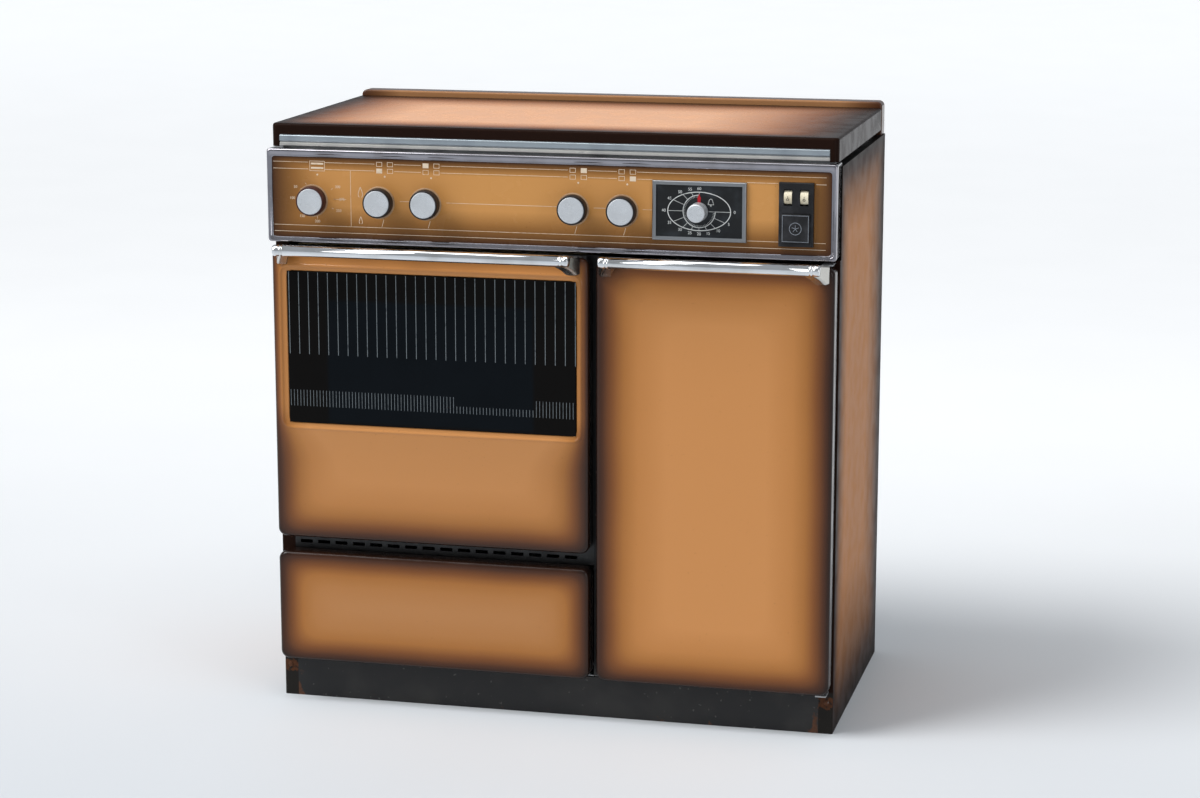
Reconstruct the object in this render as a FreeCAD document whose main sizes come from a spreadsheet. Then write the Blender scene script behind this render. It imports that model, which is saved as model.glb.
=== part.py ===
import FreeCAD, Part
import os
import re
import Sketcher
from FreeCAD import Rotation, Vector

# Free-standing gas cooker with a closed lid, an oven, a drawer and a gas cylinder compartment.
# Millimetres. X runs to the right seen from the front, -Y is the front and +Z is up.
# The origin is on the floor under the middle of the overall box.

SIZES = {
    # carcass
    "half_width": 400, "carcass_front": -178, "carcass_back": 232, "side_height": 790,
    "sheet": 1.2, "flange": 20, "rear_flange": 15, "plinth_height": 58, "base_height": 60,
    "partition_x": 65, "partition_flange": 5, "panel_notch": 9,
    "runner_height": 74.7, "runner_back": 180, "screw_head": 2.2, "screw_foot": 45, "screw_inset": 9,
    "plinth_fold": 25, "gland_hole": 8, "tolerance": 0.01,
    # fronts: door faces, split lines and heights
    "door_face": -210, "door_depth": 26, "door_left": -395, "left_stack_right": 60,
    "right_door_left": 70, "door_right": 398, "door_corner": 12, "door_edge": 6,
    "drawer_bottom": 63, "drawer_top": 222, "oven_door_bottom": 244, "doors_top": 659,
    "drawer_left": -371, "drawer_right": 36, "drawer_back": 150, "drawer_floor": 75, "drawer_wall_top": 180,
    # oven cavity
    "cavity_left": -362, "cavity_right": 27, "cavity_bottom": 275, "cavity_top": 640,
    "cavity_back": 195, "insulation": 15, "seal": 6, "seal_depth": 5.5,
    "shelf_height": 450, "wire": 2.5, "shelf_margin": 1.5, "shelf_front": -165, "shelf_back": 180,
    # oven window
    "window_left": -373, "window_right": 43, "window_bottom": 411, "window_top": 627,
    "window_corner": 12, "glass": 4, "pane_rise": 1.5, "view_lap": 10,
    "view_left": -318, "view_right": -11, "view_top": 591,
    # hinges
    "oven_pivot_y": -190, "oven_pivot_z": 250, "hinge_plate": 3, "hinge_inset": 12,
    "hinge_pin": 3, "running_gap": 0.05, "hinge_eye": 4.6,
    "side_pivot_x": 386, "side_pivot_y": -196,
    "hinge_arm": 10, "hinge_arm_height": 90, "hinge_arm_foot": 60, "bush_half": 6, "bush_height": 16,
    "lid_pivot_y": 203, "lid_pivot_z": 824.8, "lid_pin": 2, "lid_eye": 3.8, "lid_hinge_x": 320,
    # handles
    "handle_z": 660, "handle_y": -244, "handle_radius": 8, "handle_bracket": 26,
    "oven_handle_left": -370, "oven_handle_right": 32, "side_handle_left": 92, "side_handle_right": 374,
    # control panel
    "panel_half": 399, "panel_bottom": 667, "panel_top": 797, "panel_depth": 40, "panel_bezel": 7.5,
    "panel_top_bezel": 11, "fascia_face": -207, "knob_height": 728.5, "knob_radius": 20.5,
    "knob_cap_radius": 18.7, "knob_reach": 30, "spindle": 4, "spindle_hole": 5,
    "skirt_depth": 14, "knob_flange": 1.6, "flange_radius": 22.5, "neck_radius": 13,
    # timer and switches
    "timer_x": 213, "timer_z": 729, "timer_half": 64.5, "timer_half_height": 40.5, "timer_rim": 5.5,
    "timer_knob_radius": 11.4, "timer_knob_reach": 24,
    "timer_can_half": 44, "timer_can_half_height": 30, "timer_can_depth": 50,
    "switch_x": 345, "switch_half": 23.5, "switch_bottom": 686,
    "switch_top": 772, "switch_reach": 7, "key_width": 10.5, "key_height": 21, "key_z": 752,
    "key_offset": 11, "button_half": 19, "button_z": 711, "button_rise": 4, "play": 0.4,
    "tap_front": 21, "tap_back": 55, "tap_half": 11, "tap_half_height": 13, "manifold_behind": 62,
    "thermostat_half": 26, "thermostat_half_height": 22, "thermostat_back": 70,
    # hob and lid
    "hob_half": 388.5, "hob_front": -189.5, "hob_back": 199, "hob_floor": 795, "hob_rim": 819,
    "hob_lip": 801, "hob_shoulder": -170,
    "lid_half": 397.5, "lid_front": -191.5, "lid_back": 204, "lid_bottom": 798, "lid_top": 830,
    "lid_skirt": 819, "lid_post": 386, "lid_edge": 4, "lid_corner": 8,
    "rail_front": 210, "rail_back": 240, "rail_top": 838, "rail_corner": 8,
    # burners and pan supports
    "burner_x": 200, "burner_front": -75, "burner_back": 100, "grate_top": 826, "grate_wire": 3,
    "burner_hole": 16, "cup_height": 9, "cap_height": 6, "cap_radius": 32,
    "grate_half": 150, "grate_front": -145, "grate_back": 170, "grate_opening": 22,
    # rear fittings
    "rear_reach": 252, "inlet_x": 330, "inlet_z": 700, "inlet_radius": 7.5,
    "gland_x": -330, "gland_z": 120, "gland_bore": 3.5, "gland_radius": 7.6, "gland_flange": 12,
}

KNOB_PLACES = {"oven_knob": -327, "rear_left_knob": -231, "front_left_knob": -164.5,
               "rear_right_knob": 43, "front_right_knob": 111}

doc = FreeCAD.newDocument("GasCooker")
sheet = doc.addObject("Spreadsheet::Sheet", "Sizes")
for row, (alias, value) in enumerate(SIZES.items(), start=1):
    sheet.set(f"A{row}", alias)
    sheet.set(f"B{row}", str(value))
    sheet.setAlias(f"B{row}", alias)
doc.recompute()

NODES = []


def formula(text):
    """An expression text with every size name pointed at its spreadsheet cell."""
    return re.sub(r"[a-z][a-z_]+", lambda word: "Sizes." + word.group(0), str(text))


def size(text):
    """The present value of a formula of sheet names, for choices made in code."""
    return float(doc.Sizes.evalExpression(formula(text)))


def bind(item, **formulas):
    """Bind properties to formulas; a double underscore stands for the dot in a property path."""
    for path, text in formulas.items():
        item.setExpression(path.replace("__", "."), formula(text))


def node(label, item):
    """Name a finished sub-part and keep it for the export."""
    item.Label = label
    NODES.append((label, item))
    return item


def box(x, y, z):
    """A box between two formulas along each axis."""
    solid = doc.addObject("Part::Box", "Box")
    bind(solid, Length=f"({x[1]})-({x[0]})", Width=f"({y[1]})-({y[0]})", Height=f"({z[1]})-({z[0]})")
    bind(solid, Placement__Base__x=x[0], Placement__Base__y=y[0], Placement__Base__z=z[0])
    return solid


TURN = {"x": Rotation(Vector(0, 1, 0), 90), "y": Rotation(Vector(1, 0, 0), -90), "z": Rotation()}


def place(solid, axis, start):
    """Stand a round primitive on its start point, along an axis."""
    solid.Placement = FreeCAD.Placement(Vector(), TURN[axis])
    bind(solid, Placement__Base__x=start[0], Placement__Base__y=start[1], Placement__Base__z=start[2])
    return solid


def cylinder(axis, start, radius, length):
    solid = doc.addObject("Part::Cylinder", "Cylinder")
    bind(solid, Radius=radius, Height=length)
    return place(solid, axis, start)


def cone(axis, start, radius_start, radius_end, length):
    solid = doc.addObject("Part::Cone", "Cone")
    bind(solid, Radius1=radius_start, Radius2=radius_end, Height=length)
    return place(solid, axis, start)


def fuse(*pieces):
    """One solid from several touching ones."""
    joined = doc.addObject("Part::MultiFuse", "Fusion")
    joined.Shapes = list(pieces)
    joined.Refine = True
    return joined


def group(*pieces):
    """Separate solids kept together as one sub-part."""
    bundle = doc.addObject("Part::Compound", "Group")
    bundle.Links = list(pieces)
    return bundle


def cut(base, *tools):
    """The base with every tool taken away."""
    result = doc.addObject("Part::Cut", "Cut")
    result.Base = base
    result.Tool = tools[0] if len(tools) == 1 else fuse(*tools)
    result.Refine = True
    return result


def edges_where(item, wanted):
    """Numbers of the edges whose middle and bounding box satisfy a test."""
    doc.recompute()
    numbers = []
    for number, edge in enumerate(item.Shape.Edges, start=1):
        middle = edge.valueAt((edge.FirstParameter + edge.LastParameter) / 2)
        run = edge.BoundBox
        if wanted(middle, run):
            numbers.append(number)
    return numbers


def on_plane(axis, place):
    """A test for edges whose middle lies on the plane across an axis at a place."""
    return lambda middle, run: abs(getattr(middle, axis) - size(place)) < size("tolerance")


def rounded(base, radius, wanted):
    """Round the chosen edges of a Part object; the radius comes from the sheet."""
    numbers = edges_where(base, wanted)
    result = doc.addObject("Part::Fillet", "Rounded")
    result.Base = base
    result.Edges = [(number, size(radius), size(radius)) for number in numbers]
    return result


def plane_of(body, role):
    return next(item for item in body.Origin.OriginFeatures if item.Role == role)


def rectangle(body, plane, offset, low, high):
    """A sketched rectangle between two corners, on an origin plane moved along its normal."""
    sketch = body.newObject("Sketcher::SketchObject", "Rectangle")
    sketch.AttachmentSupport = [(plane_of(body, plane), "")]
    sketch.MapMode = "FlatFace"
    bind(sketch, AttachmentOffset__Base__z=offset)
    left, bottom, right, top = (size(text) for text in (low[0], low[1], high[0], high[1]))
    corners = [Vector(left, bottom, 0), Vector(right, bottom, 0), Vector(right, top, 0),
               Vector(left, top, 0)]
    for start, end in zip(corners, corners[1:] + corners[:1]):
        sketch.addGeometry(Part.LineSegment(start, end), False)
    for line in range(4):
        sketch.addConstraint(Sketcher.Constraint("Coincident", line, 2, (line + 1) % 4, 1))
        sketch.addConstraint(Sketcher.Constraint("Horizontal" if line % 2 == 0 else "Vertical", line))
    for kind, line, value, text in (("DistanceX", 0, left, low[0]), ("DistanceY", 0, bottom, low[1]),
                                    ("DistanceX", 2, right, high[0]), ("DistanceY", 2, top, high[1])):
        index = sketch.addConstraint(Sketcher.Constraint(kind, -1, 1, line, 1, value))
        sketch.setExpression(f"Constraints[{index}]", formula(text))
    return sketch


def new_body(name):
    return doc.addObject("PartDesign::Body", name)


def pad(body, sketch, length, reverse=False):
    feature = body.newObject("PartDesign::Pad", "Pad")
    feature.Profile = sketch
    feature.Reversed = reverse
    bind(feature, Length=length)
    return feature


def pocket(body, sketch, length, reverse=False):
    """Cut a sketch into the body; the body's volume has to fall."""
    doc.recompute()
    before = body.Shape.Volume
    feature = body.newObject("PartDesign::Pocket", "Pocket")
    feature.Profile = sketch
    feature.Reversed = reverse
    bind(feature, Length=length)
    doc.recompute()
    if body.Shape.Volume >= before - 1:
        raise RuntimeError(f"{body.Label}: a pocket cuts nothing")
    return feature


def body_fillet(body, radius, wanted):
    base = body.Tip
    numbers = edges_where(base, wanted)
    feature = body.newObject("PartDesign::Fillet", "Fillet")
    feature.Base = (base, [f"Edge{number}" for number in numbers])
    bind(feature, Radius=radius)
    return feature


def revolved(label, outline, x, z):
    """A solid of revolution about an axis along Y: outline points are (distance out, y) formulas."""
    body = new_body(label)
    sketch = body.newObject("Sketcher::SketchObject", "Outline")
    sketch.AttachmentSupport = [(plane_of(body, "XY_Plane"), "")]
    sketch.MapMode = "FlatFace"
    points = [Vector(size(out), size(along), 0) for out, along in outline]
    count = len(points)
    for start, end in zip(points, points[1:] + points[:1]):
        sketch.addGeometry(Part.LineSegment(start, end), False)
    for line in range(count):
        sketch.addConstraint(Sketcher.Constraint("Coincident", line, 2, (line + 1) % count, 1))
    for line, (out, along) in enumerate(outline):
        for kind, value, text in (("DistanceX", points[line].x, out), ("DistanceY", points[line].y, along)):
            index = sketch.addConstraint(Sketcher.Constraint(kind, -1, 1, line, 1, value))
            sketch.setExpression(f"Constraints[{index}]", formula(text))
    feature = body.newObject("PartDesign::Revolution", "Revolution")
    feature.Profile = sketch
    feature.ReferenceAxis = (sketch, ["V_Axis"])
    feature.Angle = 360
    bind(body, Placement__Base__x=x, Placement__Base__z=z)
    return body


def hollow(body, wall, wanted):
    """Turn a solid body into a shell of even wall, open at the chosen faces."""
    doc.recompute()
    before = body.Shape.Volume
    faces = [f"Face{number}" for number, face in enumerate(body.Tip.Shape.Faces, start=1)
             if wanted(face.CenterOfMass, face.BoundBox)]
    base = body.Tip
    feature = body.newObject("PartDesign::Thickness", "Shell")
    feature.Base = (base, faces)
    feature.Reversed = True
    feature.Join = 0
    bind(feature, Value=wall)
    doc.recompute()
    if not 0 < body.Shape.Volume < before / 2:
        raise RuntimeError(f"{body.Label}: the shell has not formed")
    return feature


def is_along(run, axis):
    """True for an edge that runs mostly along one axis."""
    lengths = {"x": run.XLength, "y": run.YLength, "z": run.ZLength}
    return lengths[axis] > 0.9 * sum(lengths.values())


# ---------------------------------------------------------------- carcass

def side_panel(label, side):
    """A folded side sheet with front, rear and top flanges, cut back beside the control panel."""
    outer, inner = (("-half_width", "-half_width+{}") if side < 0 else ("half_width-{}", "half_width"))

    def across(width):
        return (outer, inner.format(width)) if side < 0 else (outer.format(width), inner)

    main = box(across("sheet"), ("carcass_front", "carcass_back"), (0, "side_height"))
    front = box(across("flange"), ("carcass_front", "carcass_front+sheet"), (0, "panel_bottom-3"))
    rear = box(across("rear_flange"), ("carcass_back-sheet", "carcass_back"), (0, "side_height"))
    top = box(across("rear_flange"), ("carcass_front+panel_notch", "carcass_back"),
              ("side_height-sheet", "side_height"))
    notch = box(across("flange+1"), ("carcass_front-1", "carcass_front+panel_notch"),
                ("panel_bottom-3", "side_height+1"))
    folded = cut(fuse(main, front, rear, top), notch)
    node(label, rounded(folded, "sheet*1.5", lambda middle, run: is_along(run, "z")
                        and abs(abs(middle.x) - size("half_width")) < size("tolerance") and run.ZLength > 500))


def carcass():
    side_panel("left_side_panel", -1)
    side_panel("right_side_panel", 1)
    back = box(("-half_width+2", "half_width-2"), ("carcass_back-2*sheet", "carcass_back-sheet"),
               ("base_height", "side_height-10"))
    louvres = [box((f"-150+{60 * column}", f"-110+{60 * column}"), ("carcass_back-10", "carcass_back+10"),
                   (f"{690 - 20 * line}", f"{696 - 20 * line}")) for column in range(5) for line in range(3)]
    inlet_hole = cylinder("y", ("inlet_x", "carcass_back-20", "inlet_z"), "inlet_radius+2", 40)
    gland_hole = cylinder("y", ("gland_x", "carcass_back-20", "gland_z"), "gland_hole", 40)
    node("back_panel", cut(back, inlet_hole, gland_hole, *louvres))
    node("base_pan", box(("-half_width+sheet", "half_width-sheet"),
                         ("carcass_front+2*sheet", "carcass_back-2*sheet"),
                         ("base_height-sheet", "base_height")))
    between_flanges = ("-half_width+flange", "half_width-flange")
    fold = ("carcass_front", "carcass_front+plinth_fold")
    face = box(between_flanges, ("carcass_front", "carcass_front+sheet"), (0, "plinth_height"))
    foot = box(between_flanges, fold, (0, "sheet"))
    ledge = box(between_flanges, fold, ("plinth_height-sheet", "plinth_height"))
    node("plinth", fuse(face, foot, ledge))
    wall = box(("partition_x-sheet/2", "partition_x+sheet/2"), ("carcass_front", "carcass_back-2*sheet"),
               ("base_height", "doors_top"))
    edge = box(("partition_x-partition_flange", "partition_x+partition_flange"),
               ("carcass_front", "carcass_front+sheet"), ("base_height", "doors_top"))
    node("centre_partition", fuse(wall, edge))
    spans = (("-half_width+sheet", "-half_width+40"), ("partition_x-40", "partition_x-sheet/2"))
    runners = [box(span, ("carcass_front+10", "runner_back"), ("runner_height-sheet", "runner_height"))
               for span in spans]
    node("drawer_runners", group(*runners))
    front_heads = [cone("y", (x, "carcass_front-screw_head", "screw_foot"), 2.6, 4, "screw_head")
                   for x in ("-half_width+screw_inset", "half_width-screw_inset")]
    rear_heads = [cone("y", (x, "carcass_back", z), 4, 2.6, "screw_head")
                  for x in ("-half_width+screw_inset", "half_width-screw_inset") for z in (110, 400, 750)]
    node("case_screws", group(*front_heads, *rear_heads))


# ---------------------------------------------------------------- oven

def tube_box(margin, back, front="carcass_front+sheet"):
    """A box as large as the cavity plus a margin on its four long sides."""
    return box((f"cavity_left-{margin}", f"cavity_right+{margin}"), (front, back),
               (f"cavity_bottom-{margin}", f"cavity_top+{margin}"))


def wire_along(axis, start, end, radius="wire"):
    """A straight wire from a start point to an end coordinate."""
    at = {"x": 0, "y": 1, "z": 2}[axis]
    return cylinder(axis, start, radius, f"({end})-({start[at]})")


def oven():
    node("oven_liner", cut(tube_box("sheet", "cavity_back+sheet"),
                           tube_box("0", "cavity_back", "carcass_front")))
    blanket = tube_box("insulation", "cavity_back+insulation", "carcass_front+2*sheet")
    node("oven_insulation", cut(blanket, tube_box("sheet", "cavity_back+sheet", "carcass_front")))
    across = ("-half_width+flange", "partition_x-partition_flange")
    face = box(across, ("carcass_front", "carcass_front+sheet"), ("drawer_top", "doors_top"))
    ledge = box(across, ("carcass_front", "carcass_front+25"), ("drawer_top-sheet", "drawer_top"))
    slots = [box((f"-372+{26 * slot}", f"-354+{26 * slot}"), ("carcass_front-5", "carcass_front+5"),
                 ("drawer_top+6", "drawer_top+11")) for slot in range(16)]
    node("front_frame", cut(fuse(face, ledge), tube_box("0", "cavity_back", "carcass_front-5"), *slots))
    ring = box(("cavity_left-seal-4", "cavity_right+seal+4"), ("carcass_front-seal_depth", "carcass_front"),
               ("cavity_bottom-seal-4", "cavity_top+seal+4"))
    inside = box(("cavity_left-4", "cavity_right+4"), ("carcass_front-9", "carcass_front+9"),
                 ("cavity_bottom-4", "cavity_top+4"))
    node("oven_door_seal", cut(ring, inside))
    oven_shelf()
    ledges = [box(x, (-165, 185), (f"shelf_height-wire-2+{step}", f"shelf_height-wire-0.3+{step}"))
              for x in (("cavity_left", "cavity_left+8"), ("cavity_right-8", "cavity_right"))
              for step in (-90, 0, 90)]
    node("shelf_runners", group(*ledges))
    tube = wire_along("x", ("cavity_left+40", 10, "cavity_bottom+16"), "cavity_right-40", 9)
    feed = wire_along("y", (-167, 10, "cavity_bottom+16"), "cavity_back", 7)
    node("oven_burner", fuse(tube, feed))
    node("grill_burner", fuse(box((-260, -75), (-90, 60), ("cavity_top-22", "cavity_top-4")),
                              wire_along("y", (-167, 60, "cavity_top-13"), "cavity_back", 6)))
    node("oven_lamp", fuse(cylinder("y", ("cavity_left+70", "cavity_back-22", "cavity_top-60"), 17, 8),
                           cylinder("y", ("cavity_left+70", "cavity_back-14", "cavity_top-60"), 22, 14)))


def oven_shelf():
    """A loose wire rack: two long side wires, two cross wires and a row of thinner bars."""
    left = "cavity_left+wire+shelf_margin"
    right = "cavity_right-wire-shelf_margin"
    sides = [wire_along("y", (x, "shelf_front", "shelf_height"), "shelf_back") for x in (left, right)]
    ends = [wire_along("x", (left, y, "shelf_height"), right) for y in ("shelf_front+4", "shelf_back-4")]
    bars = [wire_along("y", (f"{left}+{26.5 * number}", "shelf_front+4", "shelf_height"), "shelf_back-4", 1.6)
            for number in range(1, 14)]
    node("oven_shelf", fuse(*sides, *ends, *bars))


# ---------------------------------------------------------------- pressed door fronts

def pressed_front(label, x, z, openings=()):
    """A pressed steel front: a shallow pan, open at the back, with rounded corners and edges."""
    body = new_body(label)
    outline = rectangle(body, "XZ_Plane", "-door_face", (x[0], z[0]), (x[1], z[1]))
    pad(body, outline, "door_depth", reverse=True)
    body_fillet(body, "door_corner", lambda middle, run: is_along(run, "y"))
    body_fillet(body, "door_edge", lambda middle, run: run.YLength < size("tolerance")
                and abs(middle.y - size("door_face")) < size("tolerance"))
    hollow(body, "sheet", lambda middle, run: middle.y > size("door_face+door_depth") - size("tolerance"))
    for plane, offset, low, high, depth in openings:
        pocket(body, rectangle(body, plane, offset, low, high), depth)
    return body


def oven_door():
    window = ("XZ_Plane", "-door_face+1", ("window_left", "window_bottom"), ("window_right", "window_top"), 4)
    panel = pressed_front("oven_door_pressing", ("door_left", "left_stack_right"),
                          ("oven_door_bottom", "doors_top"), [window])
    hinge_slots = [box((f"{x}-3", f"{x}+6"), ("door_face+8", "door_face+door_depth+1"),
                       ("oven_door_bottom-1", "oven_door_bottom+2*sheet"))
                   for x in ("door_left+hinge_inset", "left_stack_right-hinge_inset-3")]
    node("oven_door_panel", cut(panel, *hinge_slots))
    pane = box(("window_left+play", "window_right-play"),
               ("door_face-pane_rise", "door_face+glass-pane_rise"),
               ("window_bottom+play", "window_top-play"))
    node("oven_door_glass", rounded(pane, "1.2", on_plane("y", "door_face-pane_rise")))
    inner = box(("door_left+2*sheet", "left_stack_right-2*sheet"),
                ("door_face+door_depth-sheet", "door_face+door_depth"),
                ("oven_door_bottom+18", "doors_top-2*sheet"))
    view = box(("view_left", "view_right"), ("door_face", "door_face+40"), ("window_bottom", "view_top"))
    inner = rounded(inner, "door_corner", lambda middle, run: is_along(run, "y"))
    node("oven_door_inner_panel", cut(inner, view))
    node("oven_door_inner_glass", box(("view_left-view_lap", "view_right+view_lap"),
                                      ("door_face+door_depth-sheet-glass", "door_face+door_depth-sheet"),
                                      ("window_bottom-view_lap", "view_top+view_lap")))
    handle("oven_door", "oven_handle_left", "oven_handle_right")
    blocks = []
    for x in ("door_left+hinge_inset+6", "left_stack_right-hinge_inset-16"):
        width = (x, f"{x}+hinge_arm")
        eye = cylinder("x", (x, "oven_pivot_y", "oven_pivot_z"), "hinge_eye", "hinge_arm")
        arm = box(width, ("oven_pivot_y-3", "oven_pivot_y+3"),
                  ("oven_pivot_z", "oven_pivot_z+hinge_arm_height"))
        foot = box(width, ("oven_pivot_y+3", "door_face+door_depth-sheet"),
                   ("oven_pivot_z+hinge_arm_foot", "oven_pivot_z+hinge_arm_height"))
        bore = cylinder("x", (f"{x}-1", "oven_pivot_y", "oven_pivot_z"), "hinge_pin+running_gap", 12)
        blocks.append(cut(fuse(eye, arm, foot), bore))
    node("oven_door_hinge_arms", group(*blocks))
    brackets = []
    for x, inward in (("door_left+hinge_inset", 1), ("left_stack_right-hinge_inset-3", -1)):
        plate = box((x, f"{x}+hinge_plate"), ("oven_pivot_y-5", "carcass_front"),
                    ("oven_pivot_z-5", "oven_pivot_z+5"))
        start = f"{x}+hinge_plate" if inward > 0 else f"{x}-13"
        pin = cylinder("x", (start, "oven_pivot_y", "oven_pivot_z"), "hinge_pin", 13)
        brackets.append(fuse(plate, pin))
    return brackets


def handle(door, left, right):
    """A round tube handle held off a door by a cast bracket at each end."""
    tube = cylinder("x", (left, "handle_y", "handle_z"), "handle_radius", f"({right})-({left})")
    node(f"{door}_handle", rounded(tube, "1.5", lambda middle, run: run.XLength < size("tolerance")))
    brackets = []
    for x, outward in ((left, -1), (right, 1)):
        near = (f"{x}-handle_bracket+8", x) if outward < 0 else (x, f"{x}+handle_bracket-8")
        foot_x = (f"{x}-handle_bracket+8", f"{x}+4") if outward < 0 else (f"{x}-4", f"{x}+handle_bracket-8")
        foot = box(foot_x, ("door_face-5", "door_face"), ("handle_z-24", "doors_top-2"))
        arm = box(near, ("handle_y-handle_radius+1", "door_face"), ("handle_z-12", "handle_z+6"))
        cast = fuse(foot, arm)
        brackets.append(rounded(cast, "2", lambda middle, run: middle.y < size("door_face-2")
                                and abs(middle.x - size(x)) > size("tolerance")))
    node(f"{door}_handle_brackets", group(*brackets))


def cylinder_door():
    panel = pressed_front("cylinder_door_pressing", ("right_door_left", "door_right"),
                          ("drawer_bottom", "doors_top"))
    bore = cylinder("z", ("side_pivot_x", "side_pivot_y", "drawer_bottom-5"), "hinge_pin+1",
                    "doors_top-drawer_bottom+10")
    node("cylinder_door_panel", cut(panel, bore))
    inner = box(("right_door_left+2*sheet", "door_right-2*sheet"),
                ("door_face+door_depth-sheet", "door_face+door_depth"),
                ("drawer_bottom+2*sheet", "doors_top-2*sheet"))
    node("cylinder_door_inner_panel", rounded(inner, "door_corner", lambda middle, run: is_along(run, "y")))
    handle("cylinder_door", "side_handle_left", "side_handle_right")
    bushes = []
    for low in ("drawer_bottom+4", "doors_top-4-bush_height"):
        block = box(("side_pivot_x-bush_half", "side_pivot_x+bush_half"),
                    ("side_pivot_y-bush_half", "door_face+door_depth-sheet"), (low, f"{low}+bush_height"))
        hole = cylinder("z", ("side_pivot_x", "side_pivot_y", f"{low}-1"), "hinge_pin+running_gap", 22)
        bushes.append(cut(block, hole))
    node("cylinder_door_bushes", group(*bushes))
    brackets = []
    for low, pin_low, pin_high in (("drawer_bottom-3", "drawer_bottom-2", "drawer_bottom+15"),
                                   ("doors_top+1", "doors_top-15", "doors_top+2")):
        plate = box(("side_pivot_x-7", "half_width-flange+14"), ("side_pivot_y-7", "carcass_front"),
                    (low, f"{low}+2"))
        pin = cylinder("z", ("side_pivot_x", "side_pivot_y", pin_low), "hinge_pin",
                       f"({pin_high})-({pin_low})")
        brackets.append(fuse(plate, pin))
    return brackets


def drawer():
    node("drawer_front", pressed_front("drawer_pressing", ("door_left", "left_stack_right"),
                                       ("drawer_bottom", "drawer_top")))
    outer = box(("drawer_left", "drawer_right"), ("door_face+door_depth", "drawer_back"),
                ("drawer_floor", "drawer_wall_top"))
    inner = box(("drawer_left+sheet", "drawer_right-sheet"),
                ("door_face+door_depth+sheet", "drawer_back-sheet"),
                ("drawer_floor+sheet", "drawer_wall_top+1"))
    node("drawer_box", cut(outer, inner))


# ---------------------------------------------------------------- control panel

def control_panel():
    frame = box(("-panel_half", "panel_half"), ("door_face", "door_face+panel_depth"),
                ("panel_bottom", "panel_top"))
    frame = rounded(frame, "4", on_plane("y", "door_face"))
    inside = box(("-panel_half+panel_bezel", "panel_half-panel_bezel"),
                 ("door_face-1", "door_face+panel_depth+1"),
                 ("panel_bottom+panel_bezel", "panel_top-panel_top_bezel"))
    node("control_panel_frame", cut(frame, inside))
    fascia = box(("-panel_half+panel_bezel", "panel_half-panel_bezel"), ("fascia_face", "fascia_face+sheet"),
                 ("panel_bottom+panel_bezel", "panel_top-panel_top_bezel"))
    holes = [cylinder("y", (x, "fascia_face-5", "knob_height"), "spindle_hole", 10)
             for x in KNOB_PLACES.values()]
    timer_hole = box(("timer_x-timer_half+3", "timer_x+timer_half-3"), ("fascia_face-5", "fascia_face+5"),
                     ("timer_z-timer_half_height+3", "timer_z+timer_half_height-3"))
    switch_hole = box(("switch_x-switch_half", "switch_x+switch_half"), ("fascia_face-5", "fascia_face+5"),
                      ("switch_bottom", "switch_top"))
    node("control_fascia", cut(fascia, timer_hole, switch_hole, *holes))
    for label, x in KNOB_PLACES.items():
        knob(label, x)
    timer()
    switches()
    gas_controls()


def knob(label, x):
    """A turned knob: a skirt with a flange, standing off the fascia on a neck, and the spindle behind it."""
    face = "door_face-knob_reach"
    rear = f"{face}+skirt_depth"
    base = "fascia_face-play"
    outline = [(0, face), ("knob_cap_radius", face), ("knob_cap_radius+0.8", f"{face}+1.5"),
               ("knob_radius", f"{rear}-knob_flange"), ("flange_radius", f"{rear}-knob_flange"),
               ("flange_radius", rear),
               ("neck_radius", rear), ("neck_radius", base), ("spindle", base),
               ("spindle", "fascia_face+20"), (0, "fascia_face+20")]
    node(label, revolved(f"{label}_turning", outline, x, "knob_height"))


def timer():
    rim = box(("timer_x-timer_half", "timer_x+timer_half"), ("door_face-pane_rise", "fascia_face"),
              ("timer_z-timer_half_height", "timer_z+timer_half_height"))
    rim = rounded(rim, "2", on_plane("y", "door_face-pane_rise"))
    window_x = ("timer_x-timer_half+timer_rim", "timer_x+timer_half-timer_rim")
    window_z = ("timer_z-timer_half_height+timer_rim", "timer_z+timer_half_height-timer_rim")
    node("timer_bezel", cut(rim, box(window_x, ("door_face-5", "fascia_face+5"), window_z)))
    face = box(window_x, ("door_face", "fascia_face"), window_z)
    can = box(("timer_x-timer_can_half", "timer_x+timer_can_half"),
              ("fascia_face", "fascia_face+timer_can_depth"),
              ("timer_z-timer_can_half_height", "timer_z+timer_can_half_height"))
    hole = cylinder("y", ("timer_x", "door_face-5", "timer_z"), "spindle+play", "fascia_face-door_face+27")
    node("timer_clock", cut(fuse(face, can), hole))
    front = "door_face-timer_knob_reach"
    outline = [(0, front), ("timer_knob_radius-1", front), ("timer_knob_radius", f"{front}+1"),
               ("timer_knob_radius+1.5", "door_face-play"), ("spindle", "door_face-play"),
               ("spindle", "fascia_face+20"), (0, "fascia_face+20")]
    node("timer_knob", revolved("timer_knob_turning", outline, "timer_x", "timer_z"))


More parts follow.
